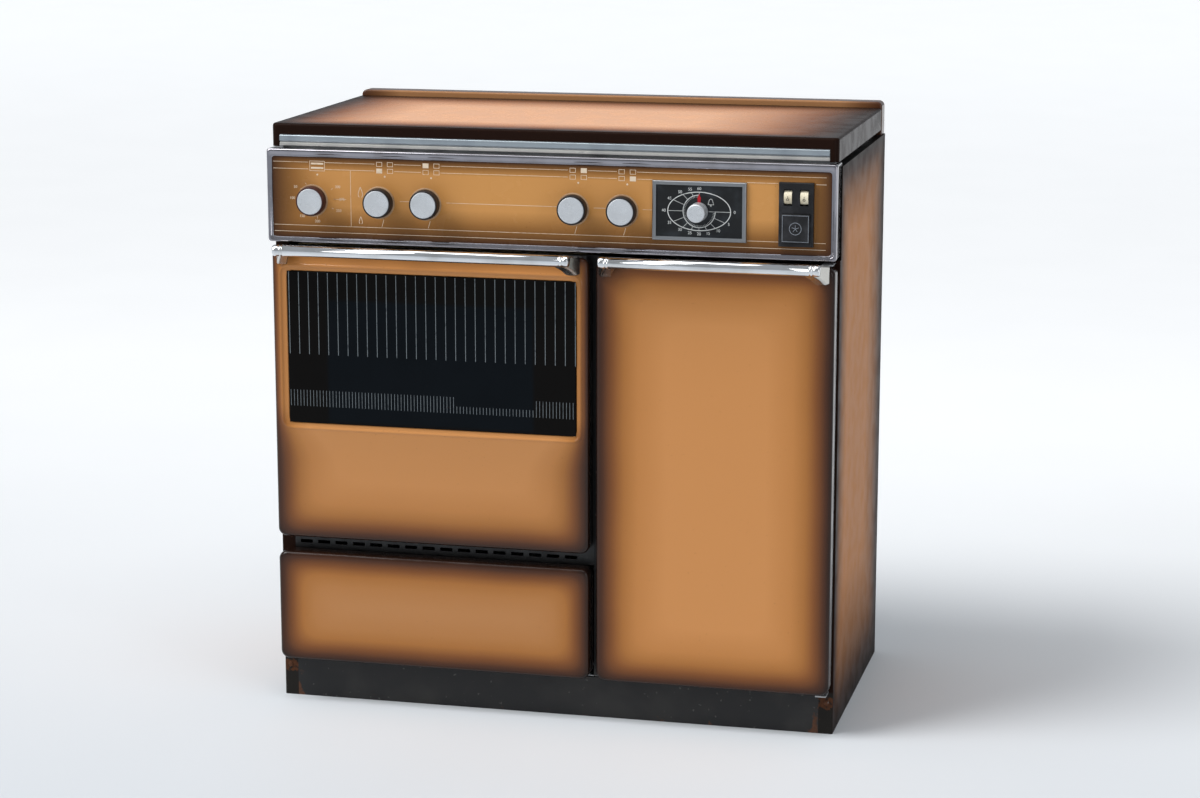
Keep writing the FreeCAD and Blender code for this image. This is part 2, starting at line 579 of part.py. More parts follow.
def switches():
    """A black housing with two rocker keys over a square ignition button."""
    face = "fascia_face-switch_reach"
    well_depth = ("fascia_face-30", "fascia_face+8")
    housing = box(("switch_x-switch_half", "switch_x+switch_half"), (face, "fascia_face+14"),
                  ("switch_bottom", "switch_top"))
    housing = rounded(housing, "1.5", on_plane("y", face))
    wells = []
    for sign in ("-", "+"):
        centre = f"switch_x{sign}key_offset"
        wells.append(box((f"{centre}-key_width/2-play", f"{centre}+key_width/2+play"), well_depth,
                         ("key_z-key_height/2-play", "key_z+key_height/2+play")))
    wells.append(box(("switch_x-button_half-play", "switch_x+button_half+play"), well_depth,
                     ("button_z-button_half-play", "button_z+button_half+play")))
    node("switch_housing", cut(housing, *wells))
    for label, sign in (("light_key", "-"), ("spit_key", "+")):
        centre = f"switch_x{sign}key_offset"
        drum = cylinder("x", (f"{centre}-key_width/2", "fascia_face+1", "key_z"), 10, "key_width")
        keep = box((f"{centre}-key_width/2", f"{centre}+key_width/2"), ("fascia_face-12", "fascia_face+4"),
                   ("key_z-key_height/2+1.2", "key_z+key_height/2-1.2"))
        common = doc.addObject("Part::Common", "Common")
        common.Base = drum
        common.Tool = keep
        node(label, common)
    button = box(("switch_x-button_half", "switch_x+button_half"), (f"{face}-button_rise", "fascia_face+2"),
                 ("button_z-button_half", "button_z+button_half"))
    node("ignition_button", rounded(button, "1", on_plane("y", f"{face}-button_rise")))


def gas_controls():
    """The rail that feeds the taps, the taps behind the knobs and the oven thermostat."""
    rail_y = "fascia_face+manifold_behind"
    node("gas_manifold", fuse(wire_along("x", (-300, rail_y, "knob_height"), 345, 7),
                              wire_along("y", (330, rail_y, "knob_height"), 190, 6)))
    tap_places = [x for label, x in KNOB_PLACES.items() if label != "oven_knob"]
    taps = [box((f"{x}-tap_half", f"{x}+tap_half"), ("fascia_face+tap_front", "fascia_face+tap_back"),
                ("knob_height-tap_half_height", "knob_height+tap_half_height")) for x in tap_places]
    node("gas_taps", group(*taps))
    oven_x = KNOB_PLACES["oven_knob"]
    node("oven_thermostat", box((f"{oven_x}-thermostat_half", f"{oven_x}+thermostat_half"),
                                ("fascia_face+tap_front", "fascia_face+thermostat_back"),
                                ("knob_height-thermostat_half_height", "knob_height+thermostat_half_height")))


# ---------------------------------------------------------------- hob

def burner_places():
    return [(f"{side}burner_x", y) for side in ("-", "") for y in ("burner_front", "burner_back")]


def hob():
    tray = box(("-hob_half", "hob_half"), ("hob_shoulder", "hob_back"), ("hob_floor", "hob_rim"))
    hollow = box(("-hob_half+sheet", "hob_half-sheet"), ("hob_shoulder+sheet", "hob_back-sheet"),
                 ("hob_floor+sheet", "hob_rim+1"))
    roll = box(("-hob_half", "hob_half"), ("hob_front", "hob_shoulder"), ("hob_lip", "hob_rim"))
    roll = rounded(roll, "3", lambda middle, run: abs(middle.y - size("hob_front")) < size("tolerance")
                   and not is_along(run, "x") or middle.z > size("hob_rim") - size("tolerance")
                   and abs(middle.y - size("hob_front")) < size("tolerance"))
    under = box(("-hob_half+sheet", "hob_half-sheet"), ("hob_front+sheet", "hob_shoulder"),
                ("hob_lip-1", "hob_rim-sheet"))
    holes = [cylinder("z", (x, y, "hob_floor-5"), "burner_hole", 20) for x, y in burner_places()]
    node("hob_top", cut(fuse(cut(roll, under), cut(tray, hollow)), *holes))
    bases, caps = [], []
    for x, y in burner_places():
        cup = cone("z", (x, y, "hob_floor+sheet"), "cap_radius+6", "cap_radius+1", "cup_height")
        neck = cylinder("z", (x, y, "hob_floor-18"), "burner_hole-1", 22)
        bases.append(fuse(cup, neck))
        cap = cylinder("z", (x, y, "hob_floor+sheet+cup_height"), "cap_radius", "cap_height")
        caps.append(rounded(cap, "2", on_plane("z", "hob_floor+sheet+cup_height+cap_height")))
    node("burner_bases", group(*bases))
    node("burner_caps", group(*caps))
    node("pan_supports", group(pan_support("-"), pan_support("")))


def pan_support(side):
    """A wire grid over the two burners of one side, standing on four short legs."""
    middle = f"{side}burner_x"
    left, right = f"{middle}-grate_half", f"{middle}+grate_half"
    front, back = "grate_front+grate_wire", "grate_back-grate_wire"
    z = "grate_top-grate_wire"
    rails = [wire_along("y", (x, "grate_front", z), "grate_back", "grate_wire") for x in (left, right)]
    ends = [wire_along("x", (left, y, z), right, "grate_wire") for y in (front, "12", back)]
    fingers = []
    for y in ("burner_front", "burner_back"):
        fingers.append(wire_along("x", (left, y, z), f"{middle}-grate_opening", "grate_wire"))
        fingers.append(wire_along("x", (f"{middle}+grate_opening", y, z), right, "grate_wire"))
    legs = [wire_along("z", (x, y, "hob_floor+sheet"), z, "grate_wire")
            for x in (left, right) for y in (front, back)]
    return fuse(*rails, *ends, *fingers, *legs)


def hob_rail():
    """The raised rail behind the lid, with the two pins that the lid turns on."""
    outer = box(("-lid_half", "lid_half"), ("rail_front", "rail_back"), ("side_height", "rail_top"))
    outer = rounded(outer, "rail_corner", lambda middle, run: middle.z > size("rail_top") - size("tolerance")
                    and is_along(run, "y"))
    outer = rounded(outer, "3", lambda middle, run:
                    middle.z > size("rail_top-rail_corner-tolerance") and not is_along(run, "y"))
    inner = box(("-lid_half+2", "lid_half-2"), ("rail_front+sheet", "rail_back-sheet"),
                ("side_height-1", "rail_top-rail_corner"))
    node("lid_hinge_rail", cut(outer, inner))
    pins = []
    for side in ("-", ""):
        lug_x = f"{side}lid_hinge_x"
        lug = (f"{lug_x}-2", f"{lug_x}+2")
        foot = box(lug, ("lid_pivot_y-3", "rail_front"), ("lid_pivot_z-7", "lid_pivot_z-1.5"))
        post = box(lug, ("lid_pivot_y-3", "lid_pivot_y+2.4"), ("lid_pivot_z-7", "lid_pivot_z+2.2"))
        pin = cylinder("x", (f"{lug_x}-14", "lid_pivot_y", "lid_pivot_z"), "lid_pin", 28)
        pins.append(fuse(foot, post, pin))
    node("lid_hinge_pins", group(*pins))


def lid():
    body = new_body("lid_pressing")
    pad(body, rectangle(body, "XY_Plane", "lid_bottom", ("-lid_half", "lid_front"), ("lid_half", "lid_back")),
        "lid_top-lid_bottom")
    body_fillet(body, "lid_corner", lambda middle, run: is_along(run, "z") and middle.y < 0)
    body_fillet(body, "lid_edge", lambda middle, run: middle.z > size("lid_top") - size("tolerance")
                and middle.y < size("lid_back") - size("tolerance"))
    hollow(body, "sheet", lambda middle, run: middle.z < size("lid_bottom") + size("tolerance")
           or middle.y > size("lid_back") - size("tolerance"))
    mouth = box(("-lid_post", "lid_post"), ("lid_front-5", "lid_front+20"), ("lid_bottom-1", "lid_skirt"))
    node("lid_panel", cut(body, mouth))
    arms = []
    for side in ("-", ""):
        for start in (f"{side}lid_hinge_x-13", f"{side}lid_hinge_x+3"):
            eye = cylinder("x", (start, "lid_pivot_y", "lid_pivot_z"), "lid_eye", 10)
            leaf = box((start, f"{start}+10"), ("lid_pivot_y-70", "lid_pivot_y"),
                       ("lid_top-sheet-1.5", "lid_top-sheet"))
            bore = cylinder("x", (f"{start}-1", "lid_pivot_y", "lid_pivot_z"), "lid_pin+running_gap", 12)
            arms.append(cut(fuse(eye, leaf), bore))
    node("lid_hinge_arms", group(*arms))


# ---------------------------------------------------------------- rear fittings

def rear_fittings():
    fitting = cylinder("y", ("inlet_x", "carcass_back-38", "inlet_z"), "inlet_radius+1.5", 38)
    stub = cylinder("y", ("inlet_x", "carcass_back", "inlet_z"), "inlet_radius", "rear_reach-carcass_back")
    node("gas_inlet", fuse(fitting, stub))
    collar = cylinder("y", ("gland_x", "carcass_back-12", "gland_z"), "gland_radius", 18)
    flange = cylinder("y", ("gland_x", "carcass_back-sheet", "gland_z"), "gland_flange", 4)
    bore = cylinder("y", ("gland_x", "carcass_back-30", "gland_z"), "gland_bore", 60)
    node("cable_gland", cut(fuse(collar, flange), bore))


carcass()
oven()
node("door_hinges", group(*oven_door(), *cylinder_door()))
drawer()
control_panel()
hob()
hob_rail()
lid()
rear_fittings()
doc.recompute()

for item in doc.Objects:
    if "Invalid" in item.State or "Error" in item.State:
        raise RuntimeError(f"{item.Label} did not recompute: {item.State}")
os.makedirs("parts", exist_ok=True)
overall = FreeCAD.BoundBox()
for label, item in NODES:
    shape = item.Shape
    if shape.isNull() or not shape.isValid():
        raise RuntimeError(f"{label} has no valid shape")
    shape.exportStep(f"parts/{label}.step")
    overall.add(shape.BoundBox)
print(len(NODES), "sub-parts, overall", overall)
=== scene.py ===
"""Looks of a free-standing gas cooker: an oven with a drawer below, a gas bottle cupboard, and a lidded hob.

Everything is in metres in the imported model's frame: x to the right, front towards -y, floor at z = 0.
"""
import math

import bpy
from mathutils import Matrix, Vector


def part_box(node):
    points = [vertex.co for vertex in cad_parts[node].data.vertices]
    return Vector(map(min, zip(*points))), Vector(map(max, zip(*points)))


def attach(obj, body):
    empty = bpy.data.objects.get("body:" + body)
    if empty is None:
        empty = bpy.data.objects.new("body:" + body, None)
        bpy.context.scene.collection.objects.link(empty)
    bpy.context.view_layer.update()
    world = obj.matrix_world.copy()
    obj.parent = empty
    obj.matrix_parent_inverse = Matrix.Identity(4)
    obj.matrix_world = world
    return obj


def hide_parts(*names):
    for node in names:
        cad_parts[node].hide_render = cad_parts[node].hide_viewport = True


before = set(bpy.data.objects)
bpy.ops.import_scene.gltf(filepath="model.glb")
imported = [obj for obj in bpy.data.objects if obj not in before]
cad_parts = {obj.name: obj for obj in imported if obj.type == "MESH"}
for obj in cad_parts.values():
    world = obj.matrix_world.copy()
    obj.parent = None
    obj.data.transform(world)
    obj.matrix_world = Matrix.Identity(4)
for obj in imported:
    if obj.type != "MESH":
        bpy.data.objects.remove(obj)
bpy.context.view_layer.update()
scene = bpy.context.scene

MM = 0.001
X, Y, Z = range(3)


def edges(node):
    """The node's six outer planes at rest: left, right, front, back, bottom, top."""
    low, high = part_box(node)
    return low.x, high.x, low.y, high.y, low.z, high.z


def middle(node):
    """The middle of the node's box."""
    low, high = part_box(node)
    return (low + high) / 2


def placed(name, data):
    """A new object in the scene."""
    thing = bpy.data.objects.new(name, data)
    scene.collection.objects.link(thing)
    return thing


# ---------------- finishes

def linear(red, green, painted_inside_view):
    """A shader colour from the usual 0 to 255 screen values."""
    def channel(value):
        value = value / 255
        return value / 12.92 if value <= 0.04045 else ((value + 0.055) / 1.055) ** 2.4
    return channel(red), channel(green), channel(painted_inside_view), 1.0


class Finish:
    """A material in the making: one Principled shader and the nodes that feed it."""

    def __init__(self, name, **sockets):
        self.material = bpy.data.materials.new(name)
        self.material.use_nodes = True
        self.nodes = self.material.node_tree.nodes
        self.links = self.material.node_tree.links
        self.shader = self.nodes["Principled BSDF"]
        self.here = self.nodes.new("ShaderNodeTexCoord").outputs["Object"]
        for socket, value in sockets.items():
            self.shader.inputs[socket.replace("_", " ")].default_value = value

    def put(self, socket, value):
        """Links a node's output, or sets a plain value, on an input socket."""
        if isinstance(value, bpy.types.NodeSocket):
            self.links.new(value, socket)
        else:
            socket.default_value = value

    def feed(self, name, value):
        """Gives one of the shader's own inputs its value."""
        self.put(self.shader.inputs[name], value)

    def maths(self, operation, *values):
        """The result of one Math node."""
        node = self.nodes.new("ShaderNodeMath")
        node.operation = operation
        for socket, value in zip(node.inputs, values):
            self.put(socket, value)
        return node.outputs[0]

    def axis(self, index):
        """One coordinate of the point being shaded."""
        node = self.nodes.new("ShaderNodeSeparateXYZ")
        self.put(node.inputs[0], self.here)
        return node.outputs[index]

    def stretched(self, scale):
        """The point being shaded, with each coordinate multiplied."""
        node = self.nodes.new("ShaderNodeVectorMath")
        node.operation = "MULTIPLY"
        self.put(node.inputs[0], self.here)
        node.inputs[1].default_value = scale
        return node.outputs[0]

    def noise(self, scale, detail, stretch=(1, 1, 1)):
        """Cloudy noise around 0.5, so many waves to a metre."""
        node = self.nodes.new("ShaderNodeTexNoise")
        self.put(node.inputs["Vector"], self.stretched(stretch))
        node.inputs["Scale"].default_value = scale
        node.inputs["Detail"].default_value = detail
        return node.outputs["Fac"]

    def map(self, value, low, high, out_low, out_high):
        """Rescales a value smoothly from one range to another, clamped at both ends."""
        node = self.nodes.new("ShaderNodeMapRange")
        node.interpolation_type = "SMOOTHSTEP"
        for socket, number in zip(node.inputs, (value, low, high, out_low, out_high)):
            self.put(socket, number)
        return node.outputs[0]

    def ramp(self, value, stops):
        """A colour picked by a value from (position, colour) stops."""
        node = self.nodes.new("ShaderNodeValToRGB")
        node.color_ramp.interpolation = "LINEAR"
        while len(node.color_ramp.elements) < len(stops):
            node.color_ramp.elements.new(0.5)
        for element, (position, colour) in zip(node.color_ramp.elements, stops):
            element.position = position
            element.color = colour
        self.put(node.inputs[0], value)
        return node.outputs[0]

    def mixed(self, amount, first, second):
        """A blend of two colours."""
        node = self.nodes.new("ShaderNodeMix")
        node.data_type = "RGBA"
        self.put(node.inputs["Factor"], amount)
        self.put(node.inputs[6], first)
        self.put(node.inputs[7], second)
        return node.outputs[2]

    def bump(self, height, distance):
        """Relief of some height in metres."""
        node = self.nodes.new("ShaderNodeBump")
        node.inputs["Distance"].default_value = distance
        self.put(node.inputs["Height"], height)
        self.feed("Normal", node.outputs[0])

    def swing(self, value, amount):
        """A value around 0.5, such as noise, turned into a little more or less than nothing."""
        return self.maths("MULTIPLY", self.maths("SUBTRACT", value, 0.5), amount)

    def dulled(self, scale, detail, low, high, gloss, dull):
        """Roughness that drifts in patches from one value to another."""
        self.feed("Roughness", self.map(self.noise(scale, detail), low, high, gloss, dull))

    def patchy(self, scale, detail, low, high, colour, shade):
        """Base colour that drifts in patches from one colour to another."""
        amount = self.map(self.noise(scale, detail), low, high, 0, 1)
        self.feed("Base Color", self.mixed(amount, colour, shade))

    def inset(self, walls):
        """How far a point lies inside the nearest wall: 0 at the wall, 1 a fade width away.

        Each wall is (axis, place, direction inwards, fade width).
        """
        nearest = None
        for index, place, inwards, width in walls:
            distance = self.maths("MULTIPLY", self.maths("SUBTRACT", self.axis(index), place), inwards)
            share = self.maths("DIVIDE", distance, width)
            nearest = share if nearest is None else self.maths("SMOOTH_MIN", nearest, share, 0.45)
        return nearest


DARK_BROWN = linear(34, 21, 16)
BROWN = linear(74, 43, 26)
SUNBURST = [(0.0, DARK_BROWN), (0.10, BROWN), (0.24, linear(126, 76, 38)), (0.40, linear(168, 110, 55)),
            (0.60, linear(190, 128, 70)), (1.0, linear(203, 140, 82))]
DULL_SUNBURST = SUNBURST[:-2] + [(0.60, linear(178, 121, 69)), (1.0, linear(184, 129, 80))]
CHARCOAL = linear(40, 38, 36)
GROUND_COAT = linear(30, 29, 29)
RUST = linear(96, 62, 42)
DARK_RUST = linear(58, 38, 30)


def enamel(name, walls, colours, roughness=0.16, peel=0.00004, gloss=0.25, overpaint=None):
    """Vitreous enamel sprayed darker towards the walls, with the spray's speckle and a faint orange peel.

    The walls may come from a function that is given the finish, so that a fade's width may vary. Another
    function may paint over part of the colour.
    """
    finish = Finish(name, Specular_IOR_Level=gloss)
    if callable(walls):
        walls = walls(finish)
    spray, cloud = (finish.swing(finish.noise(scale, 2), 0.08) for scale in (900, 5))
    depth = finish.maths("ADD", finish.inset(walls), finish.maths("ADD", spray, cloud))
    speck = finish.map(finish.noise(420, 0), 0.82, 0.86, 0, 0.35)
    colour = finish.mixed(speck, finish.ramp(depth, colours), BROWN)
    finish.feed("Base Color", overpaint(finish, colour) if overpaint else colour)
    finish.dulled(30, 4, 0.35, 0.75, roughness - 0.04, roughness + 0.07)
    finish.bump(finish.noise(200, 2), peel)
    return finish.material


def side_paint(finish, colour):
    """A side panel's own paintwork over the sunburst.

    Inside it has only the black ground coat. Its front edge is dark beside the plinth and rusty round the
    screw.
    """
    _, outer, front, _, _, _ = edges("right_side_panel")
    plinth_top = edges("plinth")[5]
    screw_height = edges("case_screws")[4] + 4 * MM
    fore = finish.map(finish.axis(Y), front + 0.5 * MM, front + 1.5 * MM, 1, 0)
    low = finish.map(finish.axis(Z), plinth_top, plinth_top + 3 * MM, 1, 0)
    painted = finish.mixed(finish.maths("MULTIPLY", fore, low), colour, CHARCOAL)
    from_screw = finish.maths("ABSOLUTE", finish.maths("SUBTRACT", finish.axis(Z), screw_height))
    stain = finish.maths("ADD", finish.noise(180, 6), finish.map(from_screw, 4 * MM, 14 * MM, 0.3, 0))
    rust = finish.maths("MULTIPLY", finish.map(stain, 0.66, 0.76, 0, 1), fore)
    rusted = finish.mixed(rust, painted, finish.mixed(finish.noise(300, 3), DARK_RUST, RUST))
    indoors = finish.map(finish.maths("ABSOLUTE", finish.axis(X)), outer - 0.8 * MM, outer - 0.4 * MM, 1, 0)
    hidden = finish.maths("MULTIPLY", indoors, finish.maths("SUBTRACT", 1, fore))
    return finish.mixed(hidden, rusted, GROUND_COAT)


def around(node, axes, widths):
    """Fade walls round a node's outline: the low and high width for each of two axes."""
    low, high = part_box(node)
    walls = []
    for index, (low_width, high_width) in zip(axes, widths):
        walls.append((index, low[index], 1, low_width))
        walls.append((index, high[index], -1, high_width))
    return walls


def beside_window(finish):
    """On the oven door the fade is narrow beside the window and wide on the plain enamel below it."""
    left, right, _, _, bottom, top = edges("oven_door_panel")
    glass_bottom = edges("oven_door_glass")[4]
    narrow, wide = 30 * MM, 90 * MM
    side = finish.map(finish.axis(Z), glass_bottom - 60 * MM, glass_bottom + 30 * MM, wide, narrow)
    return [(X, left, 1, side), (X, right, -1, side), (Z, bottom, 1, 85 * MM), (Z, top, -1, 35 * MM)]


def metal(name, colour, roughness, scratch, wear, grain, tint=None, metallic=1.0):
    """Bare or plated metal, with smears in its gloss and a fine grain stretched along the scratches."""
    finish = Finish(name, Metallic=metallic)
    smear = finish.noise(24, 5)
    lines = finish.noise(700, 2, scratch)
    finish.feed("Base Color", finish.mixed(finish.map(smear, 0.4, 0.8, 0, 0.8), colour, tint or colour))
    smeared = finish.map(smear, 0.35, 0.75, roughness, roughness + wear)
    finish.feed("Roughness", finish.maths("ADD", smeared, finish.swing(lines, wear)))
    finish.bump(lines, grain)
    return finish.material


def moulded(name, colour, shade, roughness=0.38, texture=0.00004):
    """Moulded plastic or rubber: a fine spark texture, dulled and dusty in patches."""
    finish = Finish(name, Specular_IOR_Level=0.3)
    finish.patchy(45, 5, 0.42, 0.75, colour, shade)
    finish.dulled(80, 4, 0.35, 0.7, roughness, roughness + 0.14)
    finish.bump(finish.noise(1500, 2), texture)
    return finish.material


def black_sheet():
    """The chassis enamel: charcoal, chipped and rusty near the floor and at the sheet's ends."""
    finish = Finish("black_enamel", Specular_IOR_Level=0.3)
    left, right, _, _, _, top = edges("plinth")
    height = finish.map(finish.axis(Z), 0.0, 0.3 * top, 0.05, -0.06)
    ends = finish.maths("SMOOTH_MIN", finish.maths("SUBTRACT", finish.axis(X), left),
                        finish.maths("SUBTRACT", right, finish.axis(X)), 0.01)
    corner = finish.maths("MULTIPLY", finish.map(ends, 0.0, 0.02, 0.24, 0.0),
                          finish.map(finish.axis(Z), top, top + 0.02, 1.0, 0.0))
    flaking = finish.maths("ADD", finish.noise(60, 8), finish.maths("ADD", height, corner))
    rust = finish.map(flaking, 0.68, 0.78, 0, 1)
    worn = finish.map(finish.noise(14, 4), 0.4, 0.75, 0, 1)
    film = finish.mixed(worn, linear(30, 30, 31), linear(44, 43, 42))
    dust = finish.mixed(finish.map(finish.noise(150, 2), 0.70, 0.74, 0, 0.6), film, linear(92, 90, 88))
    rusty = finish.mixed(finish.noise(240, 3), DARK_RUST, RUST)
    finish.feed("Base Color", finish.mixed(rust, dust, rusty))
    finish.feed("Roughness", finish.maths("ADD", finish.maths("MULTIPLY", rust, 0.35), 0.42))
    finish.bump(finish.maths("MULTIPLY", flaking, rust), 0.0004)
    return finish.material


def speckled_enamel(name, colour, speck_colour, roughness=0.3):
    """Oven or grate enamel: a dark glaze with light specks."""
    finish = Finish(name, Coat_Weight=0.2, Coat_Roughness=0.2)
    specks = finish.map(finish.noise(330, 0), 0.68, 0.74, 0, 1)
    finish.feed("Base Color", finish.mixed(specks, colour, speck_colour))
    finish.dulled(40, 5, 0.35, 0.7, roughness, roughness + 0.2)
    finish.bump(finish.noise(180, 3), 0.00012)
    return finish.material


def zinc():
    """Galvanised sheet: blotchy crystals, dull grey."""
    finish = Finish("zinc_steel", Metallic=0.85)
    crystals = finish.nodes.new("ShaderNodeTexVoronoi")
    finish.put(crystals.inputs["Vector"], finish.here)
    crystals.inputs["Scale"].default_value = 70
    tone = finish.mixed(finish.noise(30, 4), crystals.outputs["Color"], finish.noise(110, 3))
    finish.feed("Base Color", finish.ramp(tone, [(0.1, linear(150, 152, 154)), (0.8, linear(184, 186, 188))]))
    finish.dulled(22, 5, 0.3, 0.7, 0.36, 0.58)
    finish.bump(finish.noise(160, 3), 0.00008)
    return finish.material


def rusty_screws():
    """Plated screw heads, rusted through where they sit low at the front."""
    finish = Finish("case_screw_steel", Metallic=0.5)
    low = finish.map(finish.axis(Z), 0.06, 0.10, 0.4, 0.0)
    rust = finish.map(finish.maths("ADD", finish.noise(260, 5), low), 0.66, 0.76, 0, 1)
    finish.feed("Base Color", finish.mixed(rust, linear(150, 150, 148), RUST))
    finish.feed("Roughness", finish.map(rust, 0, 1, 0.4, 0.9))
    finish.bump(finish.noise(500, 4), 0.0001)
    return finish.material


def clear_glass():
    """Clear oven glass, faintly smeared."""
    finish = Finish("clear_glass", Transmission_Weight=0.92, IOR=1.5)
    smear = finish.noise(18, 5)
    finish.feed("Base Color", finish.mixed(smear, linear(225, 232, 235), linear(190, 196, 198)))
    finish.feed("Roughness", finish.map(smear, 0.4, 0.8, 0.02, 0.12))
    return finish.material


def window_glass():
    """The door's dark glass: nearly black round its edge, and a touch bluer where one can look inside, a
    painted view of the dim oven behind the glass.
    """
    finish = Finish("black_glass", Specular_IOR_Level=0.06)
    left, right, _, _, bottom, top = edges("oven_door_inner_glass")
    rim, fade = 10 * MM, 12 * MM
    walls = [(X, left + rim, 1, fade), (X, right - 13 * MM, -1, fade),
             (Z, bottom + rim, 1, fade), (Z, top - rim, -1, fade)]
    view = finish.map(finish.inset(walls), 0.0, 0.6, 0, 1)
    smear = finish.noise(16, 6)
    dark = finish.mixed(smear, linear(9, 8, 7), linear(15, 13, 12))
    # Painted view: the dim blue oven inside, seen through the glass.
    painted_inside_view = finish.mixed(smear, linear(7, 11, 15), linear(13, 18, 23))
    finish.feed("Base Color", finish.mixed(view, dark, painted_inside_view))
    finish.dulled(40, 6, 0.4, 0.8, 0.05, 0.16)
    return finish.material


def fibrous(name, colour, shade, scale):
    """Glass wool or woven rope."""
    finish = Finish(name, Sheen_Weight=0.3)
    fibres = finish.noise(scale, 6, (1, 4, 1))
    finish.feed("Base Color", finish.mixed(fibres, colour, shade))
    finish.dulled(60, 3, 0.3, 0.7, 0.85, 1.0)
    finish.bump(fibres, 0.8 * MM)
    return finish.material


def printed(name, colour, shade):
    """Screen-printed ink, worn in places."""
    finish = Finish(name, Specular_IOR_Level=0.3)
    finish.patchy(160, 5, 0.5, 0.75, colour, shade)
    finish.dulled(200, 3, 0.3, 0.7, 0.4, 0.6)
    return finish.material


def turned_metal(names):
    """Spun aluminium: fine rings round the middle of whichever named knob is nearest."""
    finish = Finish("spun_aluminium", Metallic=0.5, Anisotropic=0.6)
    nearest = None
    for centre_x, _, centre_z in map(middle, names):
        across = finish.maths("SUBTRACT", finish.axis(X), centre_x)
        up = finish.maths("SUBTRACT", finish.axis(Z), centre_z)
        reach = finish.maths("SQRT", finish.maths("ADD", finish.maths("MULTIPLY", across, across),
                                                  finish.maths("MULTIPLY", up, up)))
        nearest = reach if nearest is None else finish.maths("MINIMUM", nearest, reach)
    rings = finish.maths("SINE", finish.maths("MULTIPLY", nearest, 9000))
    smear = finish.noise(60, 5)
    finish.feed("Base Color", finish.mixed(smear, linear(224, 228, 232), linear(196, 198, 200)))
    finish.feed("Roughness", finish.maths("ADD", finish.maths("MULTIPLY", rings, 0.05),
                                          finish.map(smear, 0.35, 0.75, 0.28, 0.38)))
    finish.bump(rings, 0.00002)
    return finish.material


KNOBS = ("oven_knob", "rear_left_knob", "front_left_knob", "rear_right_knob", "front_right_knob")
# The grain's scale along x, y and z: a small number draws it out along that axis.
EVEN, BRUSHED, DRAWN = (1, 1, 1), (0.05, 1, 1), (0.1, 1, 1)

finishes = {"black_enamel": black_sheet(), "zinc_steel": zinc(), "black_glass": window_glass(),
            "clear_glass": clear_glass()}
for name, *look in (
        ("cavity_enamel", linear(30, 34, 44), linear(90, 98, 112)),
        ("grate_enamel", linear(24, 24, 25), linear(50, 50, 52), 0.4),
        ("burner_cap_iron", linear(28, 27, 27), linear(60, 58, 56), 0.5)):
    finishes[name] = speckled_enamel(name, *look)
for name, *look in (
        ("stainless", linear(190, 191, 190), 0.2, BRUSHED, 0.06, 0.000003, linear(165, 166, 166)),
        # bright_steel's blue-grey cast is a painted reflection of the pale blue sky.
        ("bright_steel", linear(168, 178, 184), 0.2, BRUSHED, 0.06, 0.000003, linear(140, 150, 158), 0.6),
        ("satin_steel", linear(214, 211, 204), 0.28, BRUSHED, 0.06, 0.000003, linear(178, 178, 176), 0.6),
        ("chrome_trim", linear(228, 230, 232), 0.05, DRAWN, 0.03, 0.000001, linear(196, 196, 194)),
        ("cast_chrome", linear(206, 204, 198), 0.2, EVEN, 0.1, 0.00003, linear(160, 158, 152)),
        # frame_chrome is painted darker and a little purple: a painted reflection of a dim room, over the
        # bright chrome.
        ("frame_chrome", linear(160, 158, 164), 0.07, DRAWN, 0.04, 0.000001, linear(126, 122, 124)),
        ("timer_metal", linear(150, 152, 154), 0.34, (0.2, 1, 1), 0.12, 0.00003),
        ("wire_steel", linear(176, 176, 174), 0.3, EVEN, 0.2, 0.00004, linear(140, 132, 120)),
        ("tap_brass", linear(192, 158, 92), 0.32, EVEN, 0.2, 0.00004, linear(130, 100, 60)),
        ("bright_aluminium", linear(205, 207, 210), 0.36, EVEN, 0.15, 0.00004)):
    finishes[name] = metal(name, *look)
for name, *look in (
        ("knob_plastic", linear(24, 21, 22), linear(44, 38, 38)),
        ("brown_skirt", linear(52, 22, 20), linear(76, 40, 36)),
        # ring_plastic, the knob flanges, is their cream darkened to tan: painted shade behind the knob
        # skirts.
        ("ring_plastic", linear(172, 138, 104), linear(132, 100, 72), 0.3),
        ("switch_plastic", linear(24, 24, 26), linear(52, 52, 55), 0.34),
        ("key_plastic", linear(232, 222, 196), linear(198, 180, 146), 0.32),
        ("dial_black", linear(20, 22, 24), linear(40, 44, 48), 0.45),
        ("gland_rubber", linear(30, 30, 30), linear(52, 50, 48), 0.6, 0.0001)):
    finishes[name] = moulded(name, *look)
for name, *look in (
        ("glass_wool", linear(222, 200, 130), linear(186, 158, 96), 400),
        ("door_rope", linear(180, 176, 166), linear(110, 106, 100), 900)):
    finishes[name] = fibrous(name, *look)
for name, *look in (
        ("cream_ink", linear(232, 212, 186), linear(206, 176, 142)),
        ("white_ink", linear(214, 216, 214), linear(168, 170, 170)),
        ("red_ink", linear(176, 24, 34), linear(120, 18, 26)),
        ("grey_ink", linear(150, 156, 164), linear(98, 104, 112)),
        ("black_ink", linear(26, 24, 24), linear(60, 52, 44)),
        ("window_ink", linear(112, 120, 124), linear(74, 80, 86))):
    finishes[name] = printed(name, *look)
finishes["spun_aluminium"] = turned_metal(KNOBS + ("timer_knob",))

FASCIA_SHADES = [(0.0, linear(70, 44, 28)), (0.5, linear(150, 103, 54)), (1.0, linear(203, 146, 84))]
# The lid's tones: its dark brown rim is the enamel's own spray, and its pale pinkish top is a painted
# reflection of the sky, as the lid has almost no gloss.
LID_SPRAY_AND_SHEEN = [(0.05, DARK_BROWN), (0.16, BROWN), (0.34, linear(136, 86, 56)), (0.6, linear(192, 136, 100)),
              (1.0, linear(232, 176, 136))]
RAIL_SHADES = [(0.05, BROWN), (0.5, linear(120, 80, 50)), (1.0, linear(165, 118, 78))]
SIDE_SHADES = [(0.04, DARK_BROWN), (0.18, linear(70, 47, 35)), (0.5, linear(146, 98, 60)),
               (1.0, linear(192, 129, 76))]

